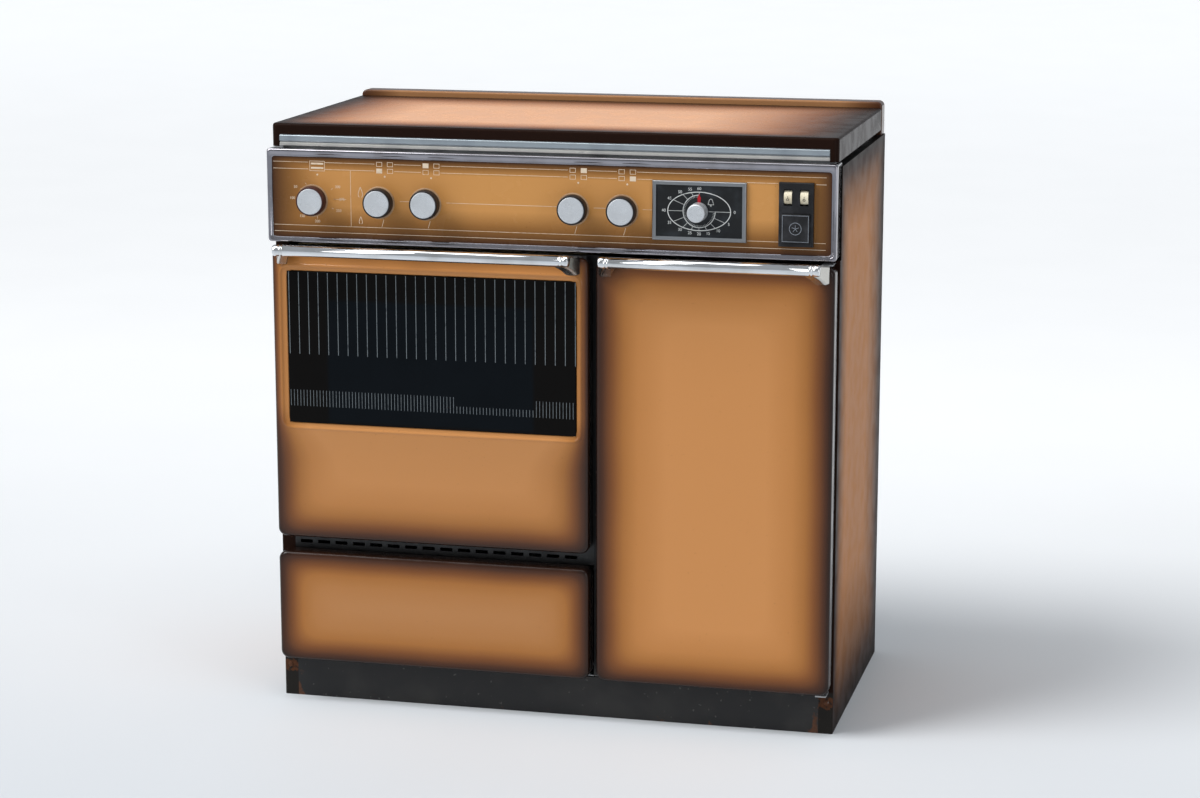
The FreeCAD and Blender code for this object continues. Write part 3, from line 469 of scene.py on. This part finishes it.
node_finishes = {
    "case_screws": rusty_screws(),
    # The front frame is its own black enamel, painted darker still as painted shade in the gaps between the
    # doors.
    "front_frame": speckled_enamel("frame_enamel", linear(15, 14, 14), linear(30, 28, 28), 0.35),
    "oven_door_panel": enamel("oven_door_enamel", beside_window, SUNBURST, 0.11, 0.00003, 0.3),
    "cylinder_door_panel": enamel(
        "cylinder_door_enamel",
        around("cylinder_door_panel", (X, Z), ((0.100, 0.090), (0.085, 0.085))), SUNBURST),
    "drawer_front": enamel(
        "drawer_enamel",
        around("drawer_front", (X, Z), ((0.090, 0.085), (0.085, 0.080))), DULL_SUNBURST),
    "control_fascia": enamel(
        "fascia_enamel",
        around("control_fascia", (X, Z), ((0.07, 0.05), (0.045, 0.02))), FASCIA_SHADES, 0.24, 0.00002, 0.15),
    # The lid's wide fades at its sides are partly painted shade, where less light falls, and partly the
    # enamel's own spray.
    "lid_panel": enamel(
        "lid_enamel",
        around("lid_panel", (X, Y), ((0.15, 0.22), (0.08, 0.12))), LID_SPRAY_AND_SHEEN, 0.26, 0.000004, 0.03),
    "lid_hinge_rail": enamel(
        "rail_enamel",
        around("lid_hinge_rail", (X, Z), ((0.06, 0.06), (0.02, 0.0001))), RAIL_SHADES),
}
for side_panel in ("left_side_panel", "right_side_panel"):
    node_finishes[side_panel] = enamel(
        side_panel + "_enamel",
        around(side_panel, (Y, Z), ((0.075, 0.15), (0.20, 0.10))), SIDE_SHADES, 0.4, 0.000005, 0.02,
        side_paint)

for name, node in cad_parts.items():
    slot = node.data.materials[0].name
    node.data.materials[0] = node_finishes.get(name) or finishes[slot]


# ---------------- mesh builders

def piece(name, vertices, faces, finish, body, slot):
    """A new smooth-shaded mesh that rides on a body.

    Its finish is one of the named finishes, or the one made for the node of that name. The slot is not used.
    """
    mesh = bpy.data.meshes.new(name)
    mesh.from_pydata([tuple(vertex) for vertex in vertices], [], faces)
    mesh.materials.append(finishes.get(finish) or node_finishes[finish])
    mesh.shade_smooth()
    thing = placed(name, mesh)
    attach(thing, body)
    return thing


def baked(thing):
    """A mesh of an object as it looks with its modifiers or its lettering worked out."""
    return bpy.data.meshes.new_from_object(thing.evaluated_get(bpy.context.evaluated_depsgraph_get()))


def eased(thing, width, segments=2):
    """Rounds a piece's sharp edges and keeps its flat faces flat."""
    bevel = thing.modifiers.new("eased_edges", "BEVEL")
    bevel.width = width
    bevel.segments = segments
    bevel.limit_method = "ANGLE"
    bevel.angle_limit = math.radians(35)
    normals = thing.modifiers.new("flat_faces", "WEIGHTED_NORMAL")
    normals.keep_sharp = True


def lofted(loops, closed=False):
    """Vertices and faces of a skin through loops of equal length: capped at both ends, or joined round."""
    count = len(loops[0])
    vertices = [point for loop in loops for point in loop]
    rows = [list(range(row * count, (row + 1) * count)) for row in range(len(loops))]
    faces = []
    for lower, upper in zip(rows, rows[1:] + (rows[:1] if closed else [])):
        for step in range(count):
            after = (step + 1) % count
            faces.append((lower[step], lower[after], upper[after], upper[step]))
    if not closed:
        faces.append(tuple(reversed(rows[0])))
        faces.append(tuple(rows[-1]))
    return vertices, faces


def rounded_outline(left, right, bottom, top, radius, inset=0.0):
    """Points (x, z) round a rectangle with rounded corners, clockwise from the top right."""
    left, right, bottom, top = left + inset, right - inset, bottom + inset, top - inset
    radius = max(radius - inset, 0.4 * MM)
    corners = ((right, top, -1, -1, 0), (right, bottom, -1, 1, -90), (left, bottom, 1, 1, -180),
               (left, top, 1, -1, 90))
    steps = 6
    points = []
    for corner_x, corner_z, in_x, in_z, start in corners:
        for step in range(steps + 1):
            angle = math.radians(start + 90 - 90 * step / steps)
            points.append((corner_x + in_x * radius + radius * math.cos(angle),
                           corner_z + in_z * radius + radius * math.sin(angle)))
    return points


def turned(name, profile, centre, axis, finish, body, slot, steps=64):
    """A solid of revolution. Each profile entry is (place along the axis, radius, depth of the flutes)."""
    loops = []
    for along, radius, flute in profile:
        loop = []
        for step in range(steps):
            reach = radius - (flute if step % 2 else 0)
            angle = 2 * math.pi * step / steps
            point = [reach * math.cos(angle), reach * math.sin(angle)]
            point.insert(axis, 0)
            place = Vector(centre) + Vector(point)
            place[axis] = along
            loop.append(place)
        loops.append(loop)
    return piece(name, *lofted(loops), finish, body, slot)


def pressed_skin(name, bands, finish, body, slot):
    """A thin pressed sheet through (outline, y) bands, joined round so that it is a closed shell."""
    loops = [[(x, y, z) for x, z in outline] for outline, y in bands]
    return piece(name, *lofted(loops, closed=True), finish, body, slot)


def notched(thing, blocks):
    """Cuts square notches, each given as a box (left, right, front, back, bottom, top), out of a piece."""
    for index, (left, right, front, back, bottom, top) in enumerate(blocks):
        corners = ((left, front), (right, front), (right, back), (left, back))
        vertices, faces = lofted([[(x, y, z) for x, y in corners] for z in (bottom, top)])
        mesh = bpy.data.meshes.new(f"{thing.name}_notch_{index}")
        mesh.from_pydata(vertices, [], faces)
        cutter = placed(mesh.name, mesh)
        trim = thing.modifiers.new("notch", "BOOLEAN")
        trim.object = cutter
        trim.solver = "EXACT"
        cut_mesh = baked(thing)
        thing.modifiers.clear()
        thing.data = cut_mesh
        bpy.data.objects.remove(cutter)


# ---------------- flat artwork

INK = 0.12 * MM


def bar(left, right, bottom, top):
    """An upright rectangle, as four corners."""
    return [(left, bottom), (right, bottom), (right, top), (left, top)]


def stroke(start, end, width):
    """A straight line of some width, as four corners."""
    along = Vector((end[0] - start[0], end[1] - start[1])).normalized() * width / 2
    return [(start[0] - along.y, start[1] + along.x), (start[0] + along.y, start[1] - along.x),
            (end[0] + along.y, end[1] - along.x), (end[0] - along.y, end[1] + along.x)]


def outline_box(centre, width, height, line):
    """The four strokes of a hollow rectangle."""
    x, z = centre
    left, right, bottom, top = x - width / 2, x + width / 2, z - height / 2, z + height / 2
    inner_bottom, inner_top = bottom + line, top - line
    return [bar(left, right, inner_top, top), bar(left, right, bottom, inner_bottom),
            bar(left, left + line, inner_bottom, inner_top),
            bar(right - line, right, inner_bottom, inner_top)]


def spot(centre, reach_x, reach_z, degrees):
    """The point (x, z) in some direction on an ellipse round a centre."""
    turn = math.radians(degrees)
    return centre[0] + reach_x * math.cos(turn), centre[1] + reach_z * math.sin(turn)


def spoke(hub, inner, outer, degrees, width):
    """A stroke that points away from a hub."""
    return stroke(spot(hub, inner, inner, degrees), spot(hub, outer, outer, degrees), width)


def arc_band(centre, reach_x, reach_z, line, start=0, end=360, steps=72):
    """An elliptical ring, or part of one, as short four-cornered stretches."""
    half = line / 2
    stretches = []
    for step in range(steps):
        first, second = (start + (end - start) * (step + more) / steps for more in (0, 1))
        corners = ((first, -half), (first, half), (second, half), (second, -half))
        stretches.append([spot(centre, reach_x + extra, reach_z + extra, degrees)
                          for degrees, extra in corners])
    return stretches


def dot(centre, radius):
    """A round spot, as a ring of points."""
    steps = 20
    return [spot(centre, radius, radius, 360 * step / steps) for step in range(steps)]


def artwork(name, shapes, front, finish, body, slot, thickness=INK):
    """Raised flat shapes (x, z) standing just proud of a front face."""
    vertices, faces = [], []
    for shape in shapes:
        first, count = len(vertices), len(shape)
        for y in (front, front - thickness):
            vertices += [(x, y, z) for x, z in shape]
        faces.append(tuple(range(first, first + count)))
        faces.append(tuple(reversed(range(first + count, first + 2 * count))))
        for step in range(count):
            after = (step + 1) % count
            faces.append((first + step, first + count + step, first + count + after, first + after))
    thing = piece(name, vertices, faces, finish, body, slot)
    thing.data.shade_flat()
    return thing


def number(name, text, centre, front, height, finish, body, slot):
    """A printed number, centred on (x, z) and facing the front."""
    curve = bpy.data.curves.new(name, "FONT")
    curve.body = text
    curve.size = height
    curve.extrude = INK / 2
    curve.align_x = "CENTER"
    curve.align_y = "CENTER"
    maker = placed(name + "_maker", curve)
    mesh = baked(maker)
    places = [(centre[0] + vertex.co.x, front - INK / 2 - vertex.co.z, centre[1] + vertex.co.y)
              for vertex in mesh.vertices]
    thing = piece(name, places, [tuple(face.vertices) for face in mesh.polygons], finish, body, slot)
    thing.data.shade_flat()
    bpy.data.objects.remove(maker)


# ---------------- oven door

def oven_door_skin():
    """The outer pressing: rolled edge, a raised bead round the window, and a step down to the glass."""
    left, right, front, back, bottom, top = edges("oven_door_panel")
    outline = (left, right, bottom, top)
    glass_left, glass_right, _, _, glass_bottom, glass_top = edges("oven_door_glass")
    roll, corner, sheet = 6 * MM, 12 * MM, 1.2 * MM
    bands = [(rounded_outline(*outline, corner, sheet), back),
             (rounded_outline(*outline, corner), back)]
    for turn in range(0, 91, 15):
        angle = math.radians(turn)
        bands.append((rounded_outline(*outline, corner, roll * (1 - math.cos(angle))),
                      front + roll * (1 - math.sin(angle))))
    bead = (glass_left - 13 * MM, glass_right + 9.75 * MM, glass_bottom - 11 * MM, glass_top + 11 * MM)
    for inset, rise in ((0, 0), (0.8, 0.5), (1.8, 1.3), (3.0, 1.6), (4.2, 1.3), (5.2, 0.5), (6.2, 0.1)):
        bands.append((rounded_outline(*bead, 15 * MM, inset * MM), front - rise * MM))
    opening = (glass_left, glass_right, glass_bottom, glass_top)
    for inset, drop in ((-2.0, 0.0), (-1.0, 0.3), (-0.5, 1.2), (-0.5, 5.0), (-1.5, 5.0)):
        bands.append((rounded_outline(*opening, 8 * MM, inset * MM), front + drop * MM))
    bands.append((rounded_outline(*outline, corner, roll), front + 1.8 * MM))
    bands.append((rounded_outline(*outline, corner, sheet), front + roll))
    skin = pressed_skin("oven_door_skin", bands, "oven_door_panel", "oven_door", "door_enamel")
    near, far = 9 * MM, 18 * MM
    reach = (front + 8 * MM, back + 1 * MM, bottom - 1 * MM, bottom + 2.4 * MM)
    notched(skin, [(left + near, left + far, *reach), (right - far, right - near, *reach)])
    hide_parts("oven_door_panel")


def window_print():
    """Silver lines printed on the glass: long stripes above, and a band of short ticks below them."""
    left, right, front, _, bottom, top = edges("oven_door_glass")
    margin = 3 * MM
    shapes = []
    stripes, stripe_pitch, half_stripe = 30, 14.2 * MM, 0.45 * MM
    for step in range(stripes):
        x = left + margin + step * stripe_pitch
        shapes.append(bar(x - half_stripe, x + half_stripe, top - 117 * MM, top - 1 * MM))
    tick_pitch, half_tick = 4.75 * MM, 0.32 * MM
    tick_count = int((right - left - 2 * margin) / tick_pitch)
    foot = bottom + 24 * MM
    low_from, low_to = right - 170 * MM, right - 56 * MM
    for step in range(tick_count + 1):
        x = left + margin + step * tick_pitch
        height = 10 * MM if low_from < x < low_to else 23 * MM
        shapes.append(bar(x - half_tick, x + half_tick, foot, foot + height))
    artwork("window_lines", shapes, front, "window_ink", "oven_door", "black_glass")


# ---------------- handles

def handle(door):
    """A chromed tube with a ringed cap at each end, on two cast brackets that spread out to the door."""
    tube_left, tube_right, _, _, tube_bottom, tube_top = edges(door + "_handle")
    centre = middle(door + "_handle")
    radius = (tube_top - tube_bottom) / 2
    shape = [(-10, 0.55), (-9.4, 0.86), (-8, 0.97), (-1, 1.0), (-0.6, 0.9), (0.6, 0.9), (1, 1.0), (3.4, 1.0),
             (3.8, 0.9), (4.8, 0.9), (5.2, 0.98)]
    profile = [(tube_left + along * MM, radius * share, 0) for along, share in shape]
    profile += [(tube_right - along * MM, radius * share, 0) for along, share in reversed(shape)]
    tube = turned(door + "_handle_tube", profile, centre, X, "chrome_trim", door, "chrome_trim")
    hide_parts(door + "_handle")

    foot_left, _, _, face, foot_bottom, _ = edges(door + "_handle_brackets")
    spread, width = tube_left - foot_left, 16 * MM
    nearest = centre.y - 3 * MM
    crown = centre.z + 6.5 * MM
    side = [(face, foot_bottom), (face, centre.z + 2 * MM), (centre.y + 6 * MM, crown),
            (centre.y - 1 * MM, crown), (nearest, centre.z + 3 * MM), (nearest, centre.z - 6 * MM),
            (face - 20 * MM, centre.z - 15 * MM), (face - 8 * MM, foot_bottom)]
    for label, tube_end, inwards in (("left", tube_left, 1), ("right", tube_right, -1)):
        # Both brackets run from left to right, so that their faces point outwards.
        loops = []
        for across in (0, width)[::inwards]:
            loops.append([(tube_end + inwards * (across - spread * (y - nearest) / (face - nearest)), y, z)
                          for y, z in side])
        name = f"{door}_{label}_bracket"
        bracket = piece(name, *lofted(loops), "cast_chrome", door, "chrome_trim")
        eased(bracket, 3 * MM, 4)
        if label == "left":
            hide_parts(door + "_handle_brackets")


# ---------------- trim

def between(first, second, share):
    """Numbers part of the way from one tuple to another."""
    return tuple(a + (b - a) * share for a, b in zip(first, second))


def panel_bezel():
    """The chromed frame of the control panel: a rolled moulding that slopes in to the fascia."""
    left, right, front, back, bottom, top = edges("control_panel_frame")
    in_left, in_right, fascia, _, in_bottom, in_top = edges("control_fascia")
    outer, inner = (left, right, bottom, top), (in_left, in_right, in_bottom, in_top)
    corner, sheet = 4 * MM, 1.2 * MM
    bands = [(rounded_outline(*outer, corner, sheet), back), (rounded_outline(*outer, corner), back),
             (rounded_outline(*outer, corner), fascia)]
    for share, rise in ((0.03, 0.5), (0.12, 0.85), (0.28, 1.0), (0.45, 0.93), (0.62, 0.55), (0.75, 0.3),
                        (0.85, 0.42), (0.93, 0.36), (1.0, 0.0)):
        outline = rounded_outline(*between(outer, inner, share), corner)
        bands.append((outline, fascia + (front - fascia) * rise))
    bands.append((rounded_outline(*inner, 2 * MM), fascia + sheet))
    bands.append((rounded_outline(*outer, corner, sheet), fascia + sheet))
    bezel = pressed_skin("panel_bezel", bands, "frame_chrome", "carcass", "chrome_trim")
    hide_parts("control_panel_frame")


def hob_front_trim():
    """The rolled front edge of the hob: a bullnose, and a brighter flange under it."""
    left, right, front, _, _, top = edges("hob_top")
    bullnose = [(0.2, -4.4), (-1.2, -4.6), (-2.4, -5.4), (-3.0, -6.8), (-3.0, -11.6), (-2.4, -13.2),
                (-0.6, -14.2), (0.2, -14.4)]
    flange = [(0.2, -15.0), (-1.2, -15.0), (-2.0, -15.4), (-2.0, -19.2), (-1.2, -19.8), (0.2, -20.0)]
    for name, section, finish in (("hob_front_lip", bullnose, "bright_steel"),
                                  ("hob_front_flange", flange, "satin_steel")):
        loops = [[(x, front + out * MM, top + drop * MM) for out, drop in section]
                 for x in (left + 3 * MM, right - 3 * MM)]
        trim = piece(name, *lofted(loops), finish, "carcass", "stainless")
        eased(trim, 0.3 * MM)


def lid_front_rim():
    """The lower edge of the lid's front skirt, which hangs over the top of the hob's lip."""
    front = edges("lid_panel")[2]
    left, right, _, _, _, top = edges("hob_top")
    back, bottom = front + 1.2 * MM, top - 4 * MM
    section = [(front, top), (front, bottom), (back, bottom), (back, top)]
    loops = [[(x, y, z) for y, z in section] for x in (left + 2.5 * MM, right - 2.5 * MM)]
    rim = piece("lid_front_rim", *lofted(loops), "lid_panel", "lid", "lid_enamel")
    rim.data.shade_flat()


# ---------------- knobs

def knob(node, skirt):
    """A fluted skirt with a cream flange behind it, painted darker tan as painted shade, and a spun-aluminium
    cap, on a neck off the fascia.
    """
    _, _, front, _, bottom, top = edges(node)
    fascia = edges("control_fascia")[2]
    centre = middle(node)
    flange = (top - bottom) / 2
    rear = front + 14 * MM
    neck, skirt_reach, cap_reach = 0.57, 0.92, 0.785
    outline = [(fascia - 0.4 * MM, 0.2, 0), (fascia - 0.4 * MM, neck, 0), (rear, neck, 0), (rear, 0.9, 0),
               (rear - 1.6 * MM, skirt_reach, 0.45), (front + 3 * MM, skirt_reach - 0.02, 0.45),
               (front + 1.0 * MM, skirt_reach - 0.04, 0), (front + 0.3 * MM, skirt_reach - 0.06, 0),
               (front + 0.3 * MM, cap_reach + 0.015, 0),
               (front + 0.8 * MM, cap_reach, 0), (front + 3 * MM, cap_reach - 0.02, 0),
               (front + 3 * MM, 0.2, 0)]
    profile = [(y, flange * share, flute * MM) for y, share, flute in outline]
    body = turned(node + "_skirt", profile, centre, Y, skirt, node, "knob_plastic", 96)
    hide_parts(node)
    outline = [(rear - 0.1 * MM, 0.6), (rear, 0.97), (rear - 0.5 * MM, 1.0), (rear - 1.3 * MM, 1.0),
               (rear - 1.8 * MM, 0.97), (rear - 1.9 * MM, 0.88)]
    profile = [(y, flange * share, 0) for y, share in outline]
    turned(node + "_flange", profile, centre, Y, "ring_plastic", node, "ring_plastic")
    outline = [(front + 2.5 * MM, 0.5), (front + 1.0 * MM, cap_reach), (front + 0.2 * MM, cap_reach),
               (front, cap_reach - 0.02), (front + 0.1 * MM, cap_reach - 0.1), (front + 0.45 * MM, 0.4),
               (front + 0.55 * MM, 0.03)]
    profile = [(y, flange * share, 0) for y, share in outline]
    turned(node + "_cap", profile, centre, Y, "spun_aluminium", node, "bright_aluminium", 96)


def timer_knob():
    """A fluted spun-aluminium knob on a short neck off the timer's dial."""
    _, _, front, back, bottom, top = edges("timer_knob")
    dial = edges("timer_clock")[2]
    radius = (top - bottom) / 2
    outline = [(back, 0.3, 0), (dial, 0.35, 0), (dial - 1 * MM, 0.95, 0), (dial - 3 * MM, 1.0, 0.35),
               (front + 2 * MM, 0.97, 0.35), (front + 0.6 * MM, 0.93, 0), (front, 0.86, 0),
               (front + 0.1 * MM, 0.7, 0), (front + 0.3 * MM, 0.05, 0)]
    profile = [(y, radius * share, flute * MM) for y, share, flute in outline]
    body = turned("timer_knob_turned", profile, middle("timer_knob"), Y, "spun_aluminium", "timer_knob",
                  "bright_aluminium", 72)
    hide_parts("timer_knob")


# ---------------- control panel artwork

HALF_RULE = 0.275 * MM


def broken_rule(start, end, z, gaps=()):
    """A level rule from one place to another, left out at the gaps."""
    ends = [start, *(place for gap in gaps for place in gap), end]
    return [bar(first, second, z - HALF_RULE, z + HALF_RULE) for first, second in zip(ends[::2], ends[1::2])]


def fascia_rules():
    """Level rules above, between and below the knobs, which stop at the signs, the timer and the switches."""
    left, right, _, _, bottom, top = edges("control_fascia")
    clock_left, clock_right, _, _, clock_bottom, _ = edges("timer_bezel")
    switch_left, switch_right = edges("switch_housing")[:2]
    clock, switches = (clock_left, clock_right), (switch_left, switch_right)
    oven_x, *hob_x = [middle(name).x for name in KNOBS]
    knob_z = middle("oven_knob").z
    start_x, end_x = left + 1.5 * MM, right - 7 * MM
    upper, lower = top - 7 * MM, top - 16.5 * MM
    signs = [(oven_x - 11.9 * MM, oven_x + 11.9 * MM)] + [(x - 12 * MM, x + 16 * MM) for x in hob_x]
    rules = broken_rule(start_x, end_x, upper, signs)
    round_switches = (switch_left - 2 * MM, switch_right + 2 * MM)
    rules += broken_rule(start_x, end_x, lower, signs + [clock, round_switches])
    for z in (bottom + 7.5 * MM, bottom + 16.5 * MM):
        rules += broken_rule(start_x, end_x, z, [clock, switches] if z > clock_bottom else [])
    knob_gap = 24 * MM
    knobs = [(x - knob_gap, x + knob_gap) for x in hob_x[1:]]
    rules += broken_rule(hob_x[0] + knob_gap, clock_left, knob_z, knobs)
    rules += broken_rule(oven_x + knob_gap, oven_x + 42 * MM, knob_z)
    divider = oven_x + 49 * MM
    rules.append(bar(divider - HALF_RULE, divider + HALF_RULE, bottom + 16.5 * MM, lower))
    return rules


def burner_signs():
    """Over each hob knob four squares, its own burner's filled, with an index dot and a slanted tick."""
    top = edges("control_fascia")[5]
    line = 0.6 * MM
    shapes = []
    for name, own in zip(KNOBS[1:], ((0, 0), (0, 1), (1, 1), (1, 0))):
        knob_x, _, knob_z = middle(name)
        sign_x = knob_x + 2.5 * MM
        for column in (0, 1):
            for row in (0, 1):
                x, z = sign_x + (column - 0.5) * 15.5 * MM, top - 11.8 * MM + (row - 0.5) * 9.2 * MM
                if (column, row) == own:
                    shapes.append(bar(x - 4.2 * MM, x + 4.2 * MM, z - 3.3 * MM, z + 3.3 * MM))
                else:
                    shapes += outline_box((x, z), 8.3 * MM, 6.4 * MM, line)
        shapes.append(dot((sign_x, knob_z + 33.5 * MM), 1.3 * MM))
        tick_top, tick_foot = (knob_x + 0.5 * MM, knob_z - 26 * MM), (knob_x - 2.5 * MM, knob_z - 36 * MM)
        shapes.append(stroke(tick_top, tick_foot, line))
    return shapes


def oven_signs():
    """Over the oven knob a box with two bars and an index dot, and round the knob its tick marks."""
    top = edges("control_fascia")[5]
    knob_x, _, knob_z = middle("oven_knob")
    line = 0.6 * MM
    shapes = outline_box((knob_x + 1 * MM, top - 12 * MM), 22 * MM, 14 * MM, line)
    for lower, upper in ((10, 7.5), (16, 13.5)):
        shapes.append(bar(knob_x - 8 * MM, knob_x + 10 * MM, top - lower * MM, top - upper * MM))
    shapes.append(dot((knob_x + 1 * MM, knob_z + 33.5 * MM), 1.3 * MM))
    for degrees in (128, 150, 180, 232, 270, 330, 360, 33):
        shapes.append(spoke((knob_x, knob_z), 24.5 * MM, 27.5 * MM, degrees, line))
    return shapes


def flame_signs():
    """A large and a small flame beside the first hob knob, each drawn as two bent sides."""
    knob_x, _, knob_z = middle("oven_knob")
    flame_x = knob_x + 63 * MM
    bend = [(0, 1), (0.55, 0.66), (1, 0.3), (0.8, 0.06), (0.45, 0)]
    shapes = []
    for size, foot in ((1.0, knob_z + 4 * MM), (0.72, knob_z - 33 * MM)):
        half_width, height = 3.4 * MM * size, 14 * MM * size
        for side in (-1, 1):
            corners = [(flame_x + side * share * half_width, foot + rise * height) for share, rise in bend]
            shapes += [stroke(first, second, 0.7 * MM) for first, second in zip(corners, corners[1:])]
    return shapes


def fascia_artwork():
    """Everything that is printed in cream on the fascia, and the oven dial's numbers."""
    front = edges("control_fascia")[2]
    shapes = fascia_rules() + burner_signs() + oven_signs() + flame_signs()
    artwork("fascia_artwork", shapes, front, "cream_ink", "carcass", "fascia_enamel")
    knob_x, _, knob_z = middle("oven_knob")
    for degrees, text in ((150, "50"), (180, "100"), (232, "150"), (270, "200"), (330, "250"), (0, "275"),
                          (33, "300")):
        place = spot((knob_x, knob_z), 36 * MM, 31.5 * MM, degrees)
        number(f"oven_mark_{text}", text, place, front, 5.2 * MM, "cream_ink", "carcass", "fascia_enamel")


def bell_sign(x, z):
    """A small bell: a round crown, two flared sides, a rim and a clapper."""
    line, shoulder, rim = 0.6 * MM, z + 1.5 * MM, z - 2.5 * MM
    shapes = arc_band((x, shoulder), 2.6 * MM, 3.6 * MM, line, 0, 180, 16)
    for side in (-1, 1):
        shapes.append(stroke((x + side * 2.6 * MM, shoulder), (x + side * 4 * MM, rim), line))
    shapes.append(stroke((x - 4 * MM, rim), (x + 4 * MM, rim), line))
    shapes.append(dot((x, z - 4 * MM), 0.9 * MM))
    return shapes


def timer_face():
    """White marks on the black dial: an oval ring, spokes with their minutes, a bell, and a red pointer."""
    front = edges("timer_clock")[2]
    x, _, z = middle("timer_knob")
    hub = (x, z)
    oval = (43 * MM, 26 * MM)
    inner = 22 * MM
    shapes = arc_band(hub, *oval, 1.1 * MM)
    shapes += arc_band(hub, inner, inner, 0.9 * MM, 90, 360, 60)
    for minutes in range(0, 61, 5):
        degrees = -4.5 * minutes
        turn = math.radians(degrees)
        reach = 1 / math.hypot(math.cos(turn) / oval[0], math.sin(turn) / oval[1])
        start = inner if 0 < minutes < 60 else 0.6 * inner
        shapes.append(spoke(hub, start, reach, degrees, 0.5 * MM))
        place = spot(hub, reach + 5.5 * MM, reach + 4.6 * MM, degrees)
        number(f"minutes_{minutes}", str(minutes), place, front, 5.6 * MM, "white_ink", "carcass",
               "dial_black")
    for degrees in range(90, 361, 6):
        shapes.append(spoke(hub, inner - 3 * MM, inner, degrees, 0.3 * MM))
    shapes += bell_sign(x + 16 * MM, z + 12 * MM)
    artwork("timer_artwork", shapes, front, "white_ink", "carcass", "dial_black")
    tail, waist, tip = z + 12 * MM, z + 17 * MM, z + 23 * MM
    pointer = [bar(x - 2.1 * MM, x + 2.1 * MM, tail, waist),
               [(x - 2.6 * MM, waist), (x + 2.6 * MM, waist), (x + 0.4 * MM, tip), (x - 0.4 * MM, tip)]]
    artwork("timer_pointer", pointer, front - INK, "red_ink", "carcass", "dial_black", 0.4 * MM)


def switch_marks():
    """A worn mark on each cream key, and an outlined spark ring on the ignition button."""
    left, right, front, _, bottom, top = edges("ignition_button")
    x, _, z = middle("ignition_button")
    line, margin = 0.5 * MM, 2.4 * MM
    shapes = outline_box((x, z), right - left - margin, top - bottom - margin, line)
    shapes += arc_band((x, z), 8 * MM, 8 * MM, 0.6 * MM)
    for ray in range(5):
        shapes.append(spoke((x, z), 0, 5 * MM, 90 + ray * 72, line))
    artwork("ignition_marks", shapes, front, "grey_ink", "ignition_button", "switch_plastic")
    for key in ("light_key", "spit_key"):
        x, _, z = middle(key)
        marks = arc_band((x, z - 2.5 * MM), 1.5 * MM, 1.5 * MM, line, steps=24)
        marks.append(bar(x - 0.3 * MM, x + 0.3 * MM, z - 0.3 * MM, z + 1.9 * MM))
        artwork(key + "_marks", marks, edges(key)[2] + 0.1 * MM, "black_ink", key, "key_plastic", 0.25 * MM)


oven_door_skin()
window_print()
panel_bezel()
hob_front_trim()
lid_front_rim()
handle("oven_door")
handle("cylinder_door")
for name in KNOBS:
    knob(name, "brown_skirt" if name == "oven_knob" else "knob_plastic")
timer_knob()
fascia_artwork()
timer_face()
switch_marks()
for name, width in (("timer_bezel", 1.2), ("switch_housing", 0.8), ("ignition_button", 0.9),
                    ("light_key", 0.6), ("spit_key", 0.6), ("oven_door_glass", 1.2)):
    eased(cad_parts[name], width * MM)


# ---------------- studio

def lamp(name, place, aim, width, height, watts):
    """A soft box that is lit but not seen itself."""
    data = bpy.data.lights.new(name, "AREA")
    data.shape = "RECTANGLE"
    data.size = width
    data.size_y = height
    data.energy = watts
    box = placed(name, data)
    box.location = place
    box.rotation_euler = (Vector(aim) - Vector(place)).to_track_quat("-Z", "Y").to_euler()
    box.visible_camera = False


def studio_floor():
    """A wide pale floor that fills the view, with painted light: it is painted lighter and made to glow more
    behind the cooker.
    """
    mesh = bpy.data.meshes.new("studio_floor")
    reach = 40
    mesh.from_pydata([(-reach, -reach, 0), (reach, -reach, 0), (reach, reach, 0), (-reach, reach, 0)], [],
                     [(0, 1, 2, 3)])
    floor = placed("studio_floor", mesh)
    finish = Finish("studio_paper_with_painted_light", Specular_IOR_Level=0.2)
    # Painted light: the floor's colour brightens from front to back.
    tone = finish.map(finish.axis(Y), -1.5, 2.5, 0, 1)
    finish.feed("Base Color", finish.mixed(tone, linear(207, 212, 217), linear(254, 254, 254)))
    finish.dulled(3, 3, 0.3, 0.7, 0.6, 0.7)
    # Painted light: the floor glows, more so behind the cooker and far away.
    finish.feed("Emission Color", (0.9, 0.96, 1.0, 1.0))
    far = finish.map(finish.axis(Y), 3, 12, 0, 0.1)
    finish.feed("Emission Strength", finish.maths("ADD", finish.maths("MULTIPLY", tone, 0.14), far))
    mesh.materials.append(finish.material)


studio_floor()
lamp("overhead_box", (-0.2, -0.6, 3.0), (0, 0, 0.8), 2.4, 0.9, 22)
lamp("left_box", (-2.6, -2.2, 2.2), (0, 0, 0.5), 1.6, 2.0, 26)
lamp("right_strip", (2.6, -2.4, 1.2), (0.3, 0, 0.5), 0.5, 1.8, 12)
sun_data = bpy.data.lights.new("key_sun", "SUN")
sun_data.energy = 1.75
sun_data.angle = math.radians(28)
sun = placed("key_sun", sun_data)
sun.rotation_euler = Vector((0.7, 0.45, -1.0)).to_track_quat("-Z", "Y").to_euler()

world = bpy.data.worlds.new("studio_air")
world.use_nodes = True
sky = world.node_tree.nodes["Background"].inputs
sky["Color"].default_value = (0.86, 0.90, 0.95, 1)
sky["Strength"].default_value = 0.42
scene.world = world
scene.view_settings.view_transform = "Standard"

camera_data = bpy.data.cameras.new("camera")
camera_data.lens = 86.26
camera = placed("camera", camera_data)
camera.location = (0.982, -3.956, 1.268)
camera.rotation_euler = (math.radians(78.24), 0, math.radians(13.59))
scene.camera = camera
